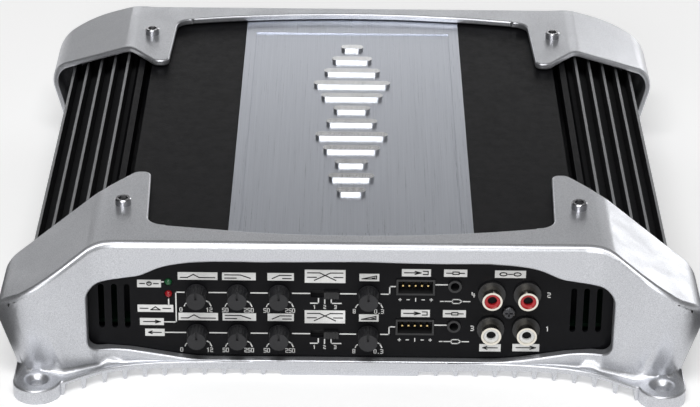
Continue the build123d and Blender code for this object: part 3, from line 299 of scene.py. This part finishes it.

# %% [markdown]
# ## Black powder coat
# The extrusion is powder coated and its fin tips are machined bare; their light colour also
# stands in for a painted highlight along the tips. A slight painted sheen of the same colour
# lightens all the fins. One mask holds both: it is full where a surface between or on the fins
# looks straight up, slight on the rest of the fins, and nil on the deck.

# %% Black powder coat
COAT = (0.006, 0.006, 0.007)
# Bare tip colour: the tips are machined bare, and the same colour paints their highlight and
# the fins' sheen.
BARE_TIP_AND_SHEEN = (0.30, 0.305, 0.315)
# Painted sheen: this share of the bare colour lightens every fin face.
FIN_SHEEN = 0.10             # bare metal showing through all over the fins
FIN_ZONE = 0.099            # the fins begin this far from the middle
UPWARD = 0.97               # a normal with more Z than this looks straight up


def black_coat():
    """Powder coat on the extrusion, with bare tips, a painted highlight on them and a painted
    sheen on its fins.
    """
    material = new_finish("black_coat", COAT, roughness=0.42, Specular_IOR_Level=0.04)
    vector = place_on_object(material)
    geometry = material.node_tree.nodes.new("ShaderNodeNewGeometry")
    facing = material.node_tree.nodes.new("ShaderNodeSeparateXYZ")
    link(material, geometry.outputs["Normal"], facing.inputs["Vector"])
    place = material.node_tree.nodes.new("ShaderNodeSeparateXYZ")
    link(material, vector, place.inputs["Vector"])
    upward = maths(material, "GREATER_THAN", facing.outputs["Z"], UPWARD)
    # Painted highlight and sheen: full where a fin face looks up, a little on every other fin
    # face.
    tip_and_sheen = maths(material, "MULTIPLY_ADD", upward, 1.0 - FIN_SHEEN, FIN_SHEEN)
    across = maths(material, "ABSOLUTE", place.outputs["X"])
    bare_and_sheen = maths(material, "MULTIPLY", tip_and_sheen,
                 maths(material, "GREATER_THAN", across, FIN_ZONE))
    link(material, ramp(material, bare_and_sheen, 0.0, 1.0, COAT, BARE_TIP_AND_SHEEN),
         shader_of(material).inputs["Base Color"])
    link(material, bare_and_sheen, shader_of(material).inputs["Metallic"])
    link(material, spread(material, noise(material, vector, 260.0), 0.36, 0.48),
         shader_of(material).inputs["Roughness"])
    bump(material, noise(material, vector, 1500.0, detail=3.0), 0.35, 0.00015)
    return material


print("fins begin", FIN_ZONE / MM, "mm from the middle")

# %% [markdown]
# ## Metal finishes
# The caps are castings under a metallic silver paint: a fine sparkle of flakes and a
# slight orange-peel texture. The centre plate is brushed along its length: its grain is a
# noise drawn out two hundred times. Screws, pins and shells are plain metal with faint wear.

# %% Metal finishes
def cast_silver():
    """Silver paint on a casting."""
    material = new_finish("cast_silver", (0.56, 0.57, 0.60), metallic=0.85, roughness=0.34)
    vector = place_on_object(material)
    flakes = noise(material, vector, 2600.0, detail=2.0, rough=0.7)
    silver = ramp(material, flakes, 0.30, 0.72, (0.45, 0.46, 0.49), (0.72, 0.73, 0.76))
    link(material, silver, shader_of(material).inputs["Base Color"])
    link(material, spread(material, noise(material, vector, 90.0), 0.32, 0.42),
         shader_of(material).inputs["Roughness"])
    bump(material, flakes, 0.22, 0.00012)
    return material


def brushed_metal(name, dark, light, stretch, rough_low, rough_high):
    """Metal with a grain: stretch is small along the lines and large across them."""
    material = new_finish(name, light, metallic=1.0, roughness=0.34)
    vector = place_on_object(material, stretch)
    lines = noise(material, vector, 1.0, detail=5.0, rough=0.75)
    link(material, ramp(material, lines, 0.30, 0.70, dark, light),
         shader_of(material).inputs["Base Color"])
    link(material, spread(material, lines, rough_low, rough_high),
         shader_of(material).inputs["Roughness"])
    bump(material, lines, 0.30, 0.00006)
    return material


def plain_metal(name, color, roughness, grain=700.0, relief=0.08):
    """Metal whose gloss varies a little from handling."""
    material = new_finish(name, color, metallic=1.0, roughness=roughness)
    vector = place_on_object(material)
    wear = noise(material, vector, grain)
    link(material, spread(material, wear, roughness * 0.8, roughness * 1.25),
         shader_of(material).inputs["Roughness"])
    bump(material, wear, relief, 0.00005)
    return material


finishes = {
    "cast_silver": cast_silver(),
    "black_anodised": black_coat(),
    "brushed_plate": brushed_metal("brushed_plate", (0.50, 0.525, 0.585), (0.62, 0.645, 0.705),
                                   (3200.0, 14.0, 3200.0), 0.26, 0.36),
    "bright_emblem": brushed_metal("bright_emblem", (0.86, 0.87, 0.88), (0.97, 0.97, 0.98),
                                   (2400.0, 40.0, 2400.0), 0.16, 0.26),
    "bright_steel": plain_metal("bright_steel", (0.50, 0.50, 0.52), 0.20),
    "dark_steel": plain_metal("dark_steel", (0.07, 0.07, 0.075), 0.30),
    "part_steel": plain_metal("part_steel", (0.50, 0.50, 0.52), 0.35),
    "shell_nickel": plain_metal("shell_nickel", (0.78, 0.74, 0.66), 0.14),
    "contact_brass": plain_metal("contact_brass", (0.78, 0.58, 0.26), 0.24),
    "copper_wire": plain_metal("copper_wire", (0.62, 0.24, 0.09), 0.28),
}
print("metal finishes:", len(finishes))

# %% [markdown]
# ## Paint and plastic finishes
# The control panel and cover are sheet steel in satin black. The knobs, sockets and
# terminal blocks are moulded plastic, which is never quite smooth, so each has a faint
# noise in its roughness and relief. Lenses and fuses let some light through.

# %% Paint and plastic finishes
def moulded(name, color, roughness, grain=1200.0, relief=0.12, **sockets):
    """Paint or moulded plastic, with a faint mottle and a fine texture."""
    material = new_finish(name, color, roughness=roughness, **sockets)
    vector = place_on_object(material)
    texture = noise(material, vector, grain)
    darker = tuple(0.82 * c for c in color)
    lighter = tuple(min(1.0, 1.18 * c) for c in color)
    mottle = noise(material, vector, grain / 9)
    link(material, ramp(material, mottle, 0.3, 0.7, darker, lighter),
         shader_of(material).inputs["Base Color"])
    link(material, spread(material, texture, roughness * 0.88, roughness * 1.12),
         shader_of(material).inputs["Roughness"])
    bump(material, texture, relief, 0.00006)
    return material


finishes.update({
    "panel_black": moulded("panel_black", (0.005, 0.005, 0.006), 0.40, 900.0, 0.05,
                           Specular_IOR_Level=0.10),
    "cover_black": moulded("cover_black", (0.018, 0.018, 0.018), 0.48),
    "black_plastic": moulded("black_plastic", (0.014, 0.014, 0.015), 0.42),
    "knob_grey": moulded("knob_grey", (0.018, 0.018, 0.020), 0.46,
                         Specular_IOR_Level=0.35),
    "lever_grey": moulded("lever_grey", (0.010, 0.010, 0.011), 0.42),
    "part_grey": moulded("part_grey", (0.16, 0.16, 0.17), 0.50),
    "pad_grey": moulded("pad_grey", (0.40, 0.41, 0.43), 0.70),
    "chip_black": moulded("chip_black", (0.020, 0.020, 0.021), 0.60),
    "core_ferrite": moulded("core_ferrite", (0.045, 0.045, 0.05), 0.65),
    "sleeve_blue": moulded("sleeve_blue", (0.015, 0.022, 0.07), 0.25),
    # The board's green is darkened far below a board's own colour: painted shade for the
    # inside of the case, seen through the vents.
    "board_green": moulded("board_green", (0.004, 0.022, 0.010), 0.45, 420.0),
    "red_plastic": moulded("red_plastic", (0.42, 0.012, 0.016), 0.24, 500.0, 0.03),
    "white_plastic": moulded("white_plastic", (0.66, 0.66, 0.65), 0.26, 500.0, 0.03),
    "green_lens": moulded("green_lens", (0.012, 0.085, 0.030), 0.12, 500.0, 0.02),
    "red_lens": moulded("red_lens", (0.26, 0.008, 0.012), 0.12, 500.0, 0.02),
    "fuse_green": moulded("fuse_green", (0.02, 0.34, 0.09), 0.16, 500.0, 0.02,
                          Transmission_Weight=0.45),
})
print("finishes in all:", len(finishes))

# %% [markdown]
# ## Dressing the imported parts
# The record names a slot for every part, such as bright steel or black plastic, and each
# finish above carries the name of its slot. So each part is given what its slot says.

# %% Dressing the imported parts
def dress(thing, finish):
    """Give an object one finish in place of whatever it had."""
    thing.data.materials.clear()
    thing.data.materials.append(finish)


for name, thing in frame["nodes"].items():
    dress(thing, finishes[slot_of[name]])
print("dressed", len(frame["nodes"]), "parts")

# %% [markdown]
# ## Where a casting is rounded
# A casting has no knife edges, and its rounded rims are what catch the light. The packed
# cap has the right shape but sharp edges. The Bevel modifier can round each edge by its
# own share of one width, so the cap is split into zones by height and depth: full rounding
# on the outer rim, about a third round the window, the ears and the lip, and very little
# on the ribs.

# %% Where a casting is rounded
RIM_ROUND = 2.4 * MM
RIM_ANGLE = math.radians(30)    # an edge that turns less than this stays as it is
RIM_SHARE, WINDOW_SHARE, LIP_SHARE, EAR_SHARE, RIB_SHARE = 1.0, 0.34, 0.32, 0.30, 0.12
# The zones' limits, in mm.
LIP_TOP = 6.3
BELOW_LIP, OVER_LIP = 0.4, 0.6  # the lip's own edges lie this near to its top
EAR_Y = 115.5                   # edges nearer the middle than this belong to the ears
WINDOW_END = 105.6
WINDOW_TOP = 52.5


def rounding_share(x, y, z):
    """Share of the full rounding for a cap edge whose middle is at x, y, z in mm."""
    if z < LIP_TOP - BELOW_LIP:
        return RIB_SHARE
    if z < LIP_TOP + OVER_LIP:
        return LIP_SHARE
    if abs(y) < EAR_Y:
        return EAR_SHARE
    if abs(x) < WINDOW_END and z < WINDOW_TOP:
        return WINDOW_SHARE
    return RIM_SHARE


def share_of(edge):
    """An edge's share: none unless it stands out and turns sharply."""
    if not edge.is_manifold or not edge.is_convex or edge.calc_face_angle() < RIM_ANGLE:
        return 0.0
    return rounding_share(*((edge.verts[0].co + edge.verts[1].co) / 2 / MM))


print("full rounding in mm:", RIM_ROUND / MM)

# %% [markdown]
# ## Making the mesh ready
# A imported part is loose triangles, and a bevel needs clean faces. A copy of the cap is
# welded, points of the rim that nearly touch become one, and facets that lie almost flat
# to each other are joined. The lip's flat top is left in triangles, because joined it
# would be one long hollow face that shades badly.

# %% Making the mesh ready
WELD = 0.005 * MM
RIM_STEP = 0.7 * MM             # points of the rim nearer than this become one
FLAT_ANGLE = math.radians(3)    # facets that turn less than this become one
LEVEL = 0.99                    # a normal with more Z than this is a level face
LIP_REACH = 7.0 * MM            # level faces below this height are the lip's


def on_lip(face):
    """Whether a face is part of the lip's level top."""
    return face.normal.z > LEVEL and face.calc_center_median().z < LIP_REACH


def join_facets(work):
    """Join the facets that lie flat to each other, above the lip."""
    floor_z = LIP_TOP * MM - 10 * WELD
    above = [edge for edge in work.edges
             if min(vert.co.z for vert in edge.verts) > floor_z
             and not any(on_lip(face) for face in edge.link_faces)]
    corners = {vert for edge in above for vert in edge.verts}
    bmesh.ops.dissolve_limit(work, angle_limit=FLAT_ANGLE, edges=above, verts=list(corners))


def welded_copy(source, name):
    """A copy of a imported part, welded, with a bevel weight for every sharp edge."""
    work = bmesh.new()
    work.from_mesh(source.data)
    bmesh.ops.remove_doubles(work, verts=work.verts, dist=WELD)
    rim = {vert for edge in work.edges if share_of(edge) == RIM_SHARE
           for vert in edge.verts}
    bmesh.ops.remove_doubles(work, verts=list(rim), dist=RIM_STEP)
    join_facets(work)
    weight = work.edges.layers.float.new("bevel_weight_edge")
    for edge in work.edges:
        edge[weight] = share_of(edge)
    return thing_from(work, name)


print("facets join within", round(math.degrees(FLAT_ANGLE)), "degrees")

# %% [markdown]
# ## Cap castings
# Three segments make each rounding. Loop slide is off, because sliding along the narrow
# facets of the shoulder throws up spikes. Weighted normals then let the large faces rule
# the shading, so the bevels look round and the flats look flat.

# %% Cap castings
SMOOTH_ANGLE = math.radians(40)
ROUND_SEGMENTS = 3


def soften_cap(end):
    """One casting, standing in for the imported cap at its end."""
    cap = welded_copy(frame["nodes"][f"{end}_end_cap"], f"{end}_cap_casting")
    cap.data.shade_smooth()
    cap.data.set_sharp_from_angle(angle=SMOOTH_ANGLE)
    rounding = cap.modifiers.new("rim", "BEVEL")
    rounding.width = RIM_ROUND
    rounding.segments = ROUND_SEGMENTS
    rounding.limit_method = "WEIGHT"
    rounding.use_clamp_overlap = False
    rounding.loop_slide = False
    evening = cap.modifiers.new("evening", "WEIGHTED_NORMAL")
    evening.keep_sharp = True
    dress(cap, finishes["cast_silver"])
    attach(cap, "chassis")
    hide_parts(f"{end}_end_cap")
    return cap


caps = [soften_cap(end) for end in ("front", "rear")]
print("cap facets:", [len(cap.data.polygons) for cap in caps])

# %% [markdown]
# ## Dark throats and screw sockets
# The hole in a signal socket and the hexagon in a screw head both look black, because little
# light comes back out of them. A thin dark disc inside each one paints that shade in, without
# touching the imported parts. Every disc sits where the imported part's own box says.

# %% Dark throats and screw sockets
SCREW_HEAD_R = 3.2 * MM
THROAT_R = 1.85 * MM        # in a signal socket, and how far behind its coloured insert
THROAT_DEEP = 1.3 * MM
SOCKET_R = 1.8 * MM         # in a screw's hexagon, and how far below its head
SOCKET_DEEP = 0.8 * MM
DISC_THICK = 0.2 * MM
DISC_SIDES = 32


def pair_centres(name):
    """Middles of two equal round parts that stand side by side, from their common box."""
    low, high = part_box(name)
    radius = (high[2] - low[2]) / 2
    return [Vector((x, low[1], (low[2] + high[2]) / 2))
            for x in (low[0] + radius, high[0] - radius)]


def corner_centres(name, radius):
    """Middles of four equal round parts at the corners of their common box."""
    low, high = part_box(name)
    return [Vector((x, y, high[2])) for x in (low[0] + radius, high[0] - radius)
            for y in (low[1] + radius, high[1] - radius)]


def fix_to_chassis(thing, slot):
    """A new piece takes a slot's finish and stays with the body of the amplifier."""
    dress(thing, finishes[slot])
    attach(thing, "chassis")
    return thing


def add_discs(name, slot, centres, turn, radius):
    """Thin dark discs of painted shade, one per centre, in one mesh."""
    work = bmesh.new()
    for centre in centres:
        bmesh.ops.create_cone(work, cap_ends=True, segments=DISC_SIDES, radius1=radius,
                              radius2=radius, depth=DISC_THICK,
                              matrix=Matrix.Translation(centre) @ turn)
    return fix_to_chassis(thing_from(work, name), slot)


throats = [centre + Vector((0.0, THROAT_DEEP, 0.0))
           for name in ("rca_red_inserts", "rca_white_inserts")
           for centre in pair_centres(name)]
sockets = [centre - Vector((0.0, 0.0, SOCKET_DEEP))
           for centre in corner_centres("end_cap_screws", SCREW_HEAD_R)]
add_discs("throat_shade_discs", "panel_black", throats, Matrix.Rotation(math.pi / 2, 4, "X"),
          THROAT_R)
add_discs("socket_shade_discs", "chip_black", sockets, Matrix.Identity(4), SOCKET_R)
print("dark discs:", len(throats) + len(sockets))

# %% [markdown]
# ## Numbers and signs
# The dials carry plain numbers, and each label carries a small sign instead of words: a
# filter curve, a wedge for level, an arrow or a plug. Both are drawn as strokes, like a
# stencil, because strokes can be stretched to any label and stay crisp.

# %% Numbers and signs
# Digits are drawn in a box two units wide and four high.
DIGITS = {
    "0": [[(0, 0), (2, 0), (2, 4), (0, 4), (0, 0)]],
    "1": [[(0.3, 3.2), (1.1, 4), (1.1, 0)]],
    "2": [[(0, 4), (2, 4), (2, 2), (0, 2), (0, 0), (2, 0)]],
    "3": [[(0, 4), (2, 4), (2, 0), (0, 0)], [(0.4, 2), (2, 2)]],
    "4": [[(0, 4), (0, 1.6), (2, 1.6)], [(1.6, 3), (1.6, 0)]],
    "5": [[(2, 4), (0, 4), (0, 2), (2, 2), (2, 0), (0, 0)]],
    "8": [[(0, 0), (2, 0), (2, 4), (0, 4), (0, 0)], [(0, 2), (2, 2)]],
    ".": [[(0.8, 0), (1.2, 0)]],
    "+": [[(0, 2), (2, 2)], [(1, 1), (1, 3)]],
    "-": [[(0, 2), (2, 2)]],
    "|": [[(1, 0.6), (1, 3.4)]],
}
# Signs are drawn in a box from -1 to 1 both ways and stretched to their label.
RING = [(math.cos(math.pi * k / 6), math.sin(math.pi * k / 6)) for k in range(13)]
SIGNS = {
    "boost": [[(-1, -0.7), (-0.6, -0.7), (-0.25, 0.8), (0.1, -0.7), (1, -0.7)]],
    "low": [[(-1, 0.7), (0.1, 0.7), (0.8, -0.8)], [(-1, -0.8), (-0.2, -0.8)]],
    "high": [[(-0.8, -0.8), (-0.1, 0.7), (1, 0.7)], [(0.2, -0.8), (1, -0.8)]],
    "cross": [[(-1, 0.7), (-0.3, 0.7), (0.6, -0.8)], [(-0.6, -0.8), (0.3, 0.7), (1, 0.7)],
              [(-1, -0.2), (-0.5, -0.2)], [(0.5, -0.2), (1, -0.2)]],
    "wedge": [[(-1, -0.7), (1, -0.7), (1, 0.8), (-1, -0.7)], [(0.4, -0.4), (0.8, -0.1)]],
    "arrow": [[(-1, 0), (0.3, 0)], [(-0.1, 0.7), (0.4, 0), (-0.1, -0.7)],
              [(0.6, 0.8), (1, 0.8), (1, -0.8), (0.6, -0.8)]],
    "plug": [[(-1, 0), (-0.3, 0)], [(-0.3, -0.6), (0.4, -0.6), (0.4, 0.6), (-0.3, 0.6),
             (-0.3, -0.6)], [(0.4, 0), (1, 0)]],
    "sockets": [[(-0.55 + 0.28 * c, 0.8 * s) for c, s in RING],
                [(0.55 + 0.28 * c, 0.8 * s) for c, s in RING], [(-0.15, 0), (0.15, 0)]],
    "on": [[(0.24 * c, 0.8 * s) for c, s in RING], [(0, 0.1), (0, 0.9)],
           [(-1, 0), (-0.5, 0)], [(0.5, 0), (1, 0)]],
    "guard": [[(-0.3, -0.7), (0.3, -0.7), (0, 0.8), (-0.3, -0.7)], [(-1, 0), (-0.5, 0)],
              [(0.5, 0), (1, 0)]],
    "ahead": [[(-0.9, 0), (0.9, 0)], [(0.4, 0.7), (0.9, 0), (0.4, -0.7)]],
    "behind": [[(-0.9, 0), (0.9, 0)], [(-0.4, 0.7), (-0.9, 0), (-0.4, -0.7)]],
}

print("digits:", len(DIGITS), "signs:", sorted(SIGNS))

# %% [markdown]
# ## A print made of thin plates
# White print is a very thin layer on the panel. A texture would hold it too, but it would
# blur close up and be lost from the bare mesh, so every mark is a thin plate: an outline
# drawn flat on the panel and extruded by the thickness of the ink.

# %% A print made of thin plates
PANEL_FACE = 116.0
PRINT_THICK = 0.06
SIGN_RISE = 0.07            # the dark signs lie on top of the white blocks
SIGN_SIDE, SIGN_END = 1.1, 0.75     # bare margin between a sign and its label's edges
STROKE = 0.5                # width of the signal lines
FINE = 0.42                 # width of the signs and the plug outlines
TICK = 0.4                  # width of a dial's low tick
DIAL_TEXT = (1.75, 0.32)    # height of a dial's numbers and the width of their strokes


class Print:
    """Thin plates gathered into one mesh. Places are (x, z) in mm on an upright panel.

    end is -1 for the panel that faces -Y and 1 for the one that faces +Y. Marks on the
    far one are given as a person facing it sees them, so x is turned over.
    """

    def __init__(self, end, lift=0.0):
        self.work = bmesh.new()
        self.end = end
        self.lift = lift

    def outline(self, corners):
        """One flat mark, drawn where the ink meets the panel."""
        y = (PANEL_FACE + self.lift) * self.end
        self.work.faces.new([self.work.verts.new(Vector((-self.end * x, y, z)) * MM)
                             for x, z in corners])

    def patch(self, x0, x1, z0, z1):
        """A plain block."""
        self.outline([(x0, z0), (x1, z0), (x1, z1), (x0, z1)])

    def line(self, points, width=STROKE):
        """Strokes between points, each run on by half a width so that corners close."""
        for (xa, za), (xb, zb) in zip(points, points[1:]):
            long = math.hypot(xb - xa, zb - za)
            ux, uz = (xb - xa) / long * width / 2, (zb - za) / long * width / 2
            self.outline([(xa - ux + uz, za - uz - ux), (xb + ux + uz, zb + uz - ux),
                          (xb + ux - uz, zb + uz + ux), (xa - ux - uz, za - uz + ux)])

    def number(self, text, x, z, high, width):
        """Digits centred on x, z."""
        unit = high / 4
        step = 3.1 * unit
        left = x - step * (len(text) - 1) / 2 - unit
        for place, digit in enumerate(text):
            for path in DIGITS[digit]:
                self.line([(left + place * step + u * unit, z + (v - 2) * unit)
                           for u, v in path], width)

    def sign(self, name, x0, x1, z0, z1):
        """A sign stretched to fill most of a label."""
        middle_x, middle_z = (x0 + x1) / 2, (z0 + z1) / 2
        half_x, half_z = (x1 - x0) / 2 - SIGN_SIDE, (z1 - z0) / 2 - SIGN_END
        for path in SIGNS[name]:
            self.line([(middle_x + u * half_x, middle_z + v * half_z) for u, v in path],
                      FINE)

    def finish(self, name, slot):
        """Raise every outline by the ink's thickness, and make the piece."""
        raised = bmesh.ops.extrude_face_region(self.work, geom=self.work.faces[:],
                                               use_keep_orig=True)
        ink = Vector((0.0, self.end * PRINT_THICK * MM, 0.0))
        bmesh.ops.translate(self.work, vec=ink, verts=[
            part for part in raised["geom"] if isinstance(part, bmesh.types.BMVert)])
        bmesh.ops.recalc_face_normals(self.work, faces=self.work.faces)
        return fix_to_chassis(thing_from(self.work, name), slot)


print("ink is", PRINT_THICK, "mm thick")

# %% [markdown]
# ## The control panel's layout
# The two rows of controls share one layout, so each mark is placed from its row's line. A
# white line follows the signal from control to control, as on the real panel.

# %% The control panel's layout
ROW_LINES = (35.4, 17.0)
# Labels that both rows carry: low x, high x, rise above the row, height, sign.
ROW_LABELS = [(-68.6, -52.8, 7.4, 3.4, "boost"), (-51.0, -37.6, 7.4, 3.4, "low"),
              (-33.0, -22.5, 7.4, 3.4, "high"), (-18.2, -2.0, 7.8, 5.9, "cross"),
              (3.5, 11.4, 7.5, 3.3, "wedge"), (20.3, 31.8, 9.8, 3.3, "arrow"),
              (37.0, 46.2, 9.8, 3.3, "plug")]
# Labels that stand alone: low x, high x, low z, high z, sign.
LONE_LABELS = [(57.2, 69.5, 43.3, 46.6, "sockets"), (52.0, 60.6, 9.6, 13.0, "behind"),
               (65.3, 76.1, 9.8, 13.2, "ahead"), (-84.8, -75.3, 37.5, 40.9, "on"),
               (-84.9, -70.6, 26.3, 29.6, "guard"), (-84.1, -74.5, 20.3, 23.5, "ahead"),
               (-82.1, -74.3, 15.3, 18.6, "behind")]
# Dials: x of the knob, then its lowest and highest number and how far they stand off.
DIALS = [(-61.2, "0", -6.4, "12", 4.9), (-44.9, "50", -5.0, "250", 4.4),
         (-28.4, "50", -5.0, "250", 4.4), (7.2, "8", -5.6, "0.3", 4.3)]
# The signal's path along a row, as (x, rise above the row).
SIGNAL = [[(-56.2, 0), (-49.5, 0)], [(-39.6, 0), (-33.2, 0)], [(-23.0, 0), (-16.2, 0)],
          [(-4.0, 0), (2.2, 0)], [(12.3, 0), (15.6, 0), (15.6, 3.5), (17.8, 3.5)],
          [(33.9, 4.5), (38.4, 4.5)]]
SWITCH_MARKS = [[(-15.8, -4.4), (-12.7, -4.4), (-12.7, -2.3)], [(-10.2, -4.4), (-10.2, -2.3)],
                [(-7.6, -2.3), (-7.6, -4.4), (-3.7, -4.4)]]
SWITCH_STOPS = [("1", -14.3), ("2", -10.2), ("3", -5.9)]
WIRE_SIGNS = [("+", 19.8), ("-", 23.0), ("|", 26.0), ("-", 29.0), ("+", 32.2)]
# From a dial's middle: the short tick at its low end and the longer one at its high end.
LOW_TICK = [(-4.2, -4.9), (-4.7, -5.4), (-5.0, -6.2)]
HIGH_TICK = [(3.9, -3.9), (4.9, -4.5), (5.6, -6.1)]
PLUG_MARKS = [[(35.9, -3.0), (37.0, -3.0)], [(37.7, -3.0), (40.7, -3.0)],
              [(40.7, -3.9), (43.4, -3.9), (44.4, -3.0), (43.4, -2.1), (40.7, -2.1),
               (40.7, -3.9)], [(45.0, -3.0), (47.6, -3.0)]]
# Heights below a row's line of the dial numbers, the switch stops and the wire signs.
DIAL_DROP, STOP_DROP, WIRE_DROP = 7.9, 6.1, 2.4
# Height and stroke width of the switch stops, the wire signs and the channel numbers.
STOP_TEXT, WIRE_TEXT, CHANNEL_TEXT = (1.5, 0.3), (1.9, 0.36), (2.0, 0.36)
# Channel numbers beside the signal sockets.
CHANNELS = [("4", 48.9, 35.5), ("3", 48.9, 20.2), ("2", 79.0, 35.7), ("1", 79.0, 20.3)]
# Lines from the lone labels to the lamps and to the start of each row.
LEADS = [[(-74.3, 21.8), (-69.5, 21.8), (-69.5, ROW_LINES[0]), (-66.2, ROW_LINES[0])],
         [(-74.3, ROW_LINES[1]), (-65.9, ROW_LINES[1])],
         [(-75.3, 40.0), (-74.4, 40.0)], [(-72.4, 32.2), (-72.4, 29.6)]]

print("labels:", 2 * len(ROW_LABELS) + len(LONE_LABELS))

# %% [markdown]
# ## Printing the control panel
# One function prints a row, and both rows call it. White marks and the dark signs on them
# are two pieces, because each piece has one finish.

# %% Printing the control panel
def print_row(white, dark, row):
    """All the marks of one row, from the height of its line."""
    for x0, x1, rise, high, sign in ROW_LABELS:
        box = (x0, x1, row + rise - high / 2, row + rise + high / 2)
        white.patch(*box)
        dark.sign(sign, *box)
    for x, low, low_off, top, top_off in DIALS:
        white.number(low, x + low_off, row - DIAL_DROP, *DIAL_TEXT)
        white.number(top, x + top_off, row - DIAL_DROP, *DIAL_TEXT)
        white.line([(x + along, row + rise) for along, rise in HIGH_TICK])
        white.line([(x + along, row + rise) for along, rise in LOW_TICK], TICK)
    for path in SIGNAL + SWITCH_MARKS:
        white.line([(x, row + rise) for x, rise in path])
    for path in PLUG_MARKS:
        white.line([(x, row + rise) for x, rise in path], FINE)
    for digit, x in SWITCH_STOPS:
        white.number(digit, x, row - STOP_DROP, *STOP_TEXT)
    for mark, x in WIRE_SIGNS:
        white.number(mark, x, row - WIRE_DROP, *WIRE_TEXT)


def print_front():
    """Both rows, the lone labels, their lines and the channel numbers."""
    white, dark = Print(-1), Print(-1, SIGN_RISE)
    for row in ROW_LINES:
        print_row(white, dark, row)
    for x0, x1, z0, z1, sign in LONE_LABELS:
        white.patch(x0, x1, z0, z1)
        dark.sign(sign, x0, x1, z0, z1)
    for path in LEADS:
        white.line(path)
    for digit, x, z in CHANNELS:
        white.number(digit, x, z, *CHANNEL_TEXT)
    return (white.finish("front_print", "white_plastic"),
            dark.finish("front_signs", "panel_black"))


front_marks = print_front()
print("front print:", [len(thing.data.polygons) for thing in front_marks])

# %% [markdown]
# ## Pole signs on the rear panel
# Terminals are marked plus and minus in turn. The record says where each terminal is, so
# its sign is placed from its own mount, just above the block that holds it.

# %% Pole signs on the rear panel
POLE_SIGN_RISE = 2.4        # middle of a pole sign above its terminal block
POLE_TEXT = (3.0, 0.5)      # its height and the width of its strokes


def print_rear():
    """A pole sign above every terminal, in step with the terminals' own mounts."""
    marks = Print(1)
    for mount in frame["record"]["mounts"]:
        block, _, number = mount["name"].rpartition("_")
        if block in ("speaker_terminal", "power_terminal"):
            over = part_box(f"{block}_block")[1][2] / MM + POLE_SIGN_RISE
            marks.number("+" if int(number) % 2 else "-", -mount["pos_m"][0] / MM, over,
                         *POLE_TEXT)
    return marks.finish("rear_print", "white_plastic")


rear_marks = print_rear()
print("rear print:", len(rear_marks.data.polygons))

# %% [markdown]
# ## Done
# The last cell prints a closing line.

# %% Done
print("done")
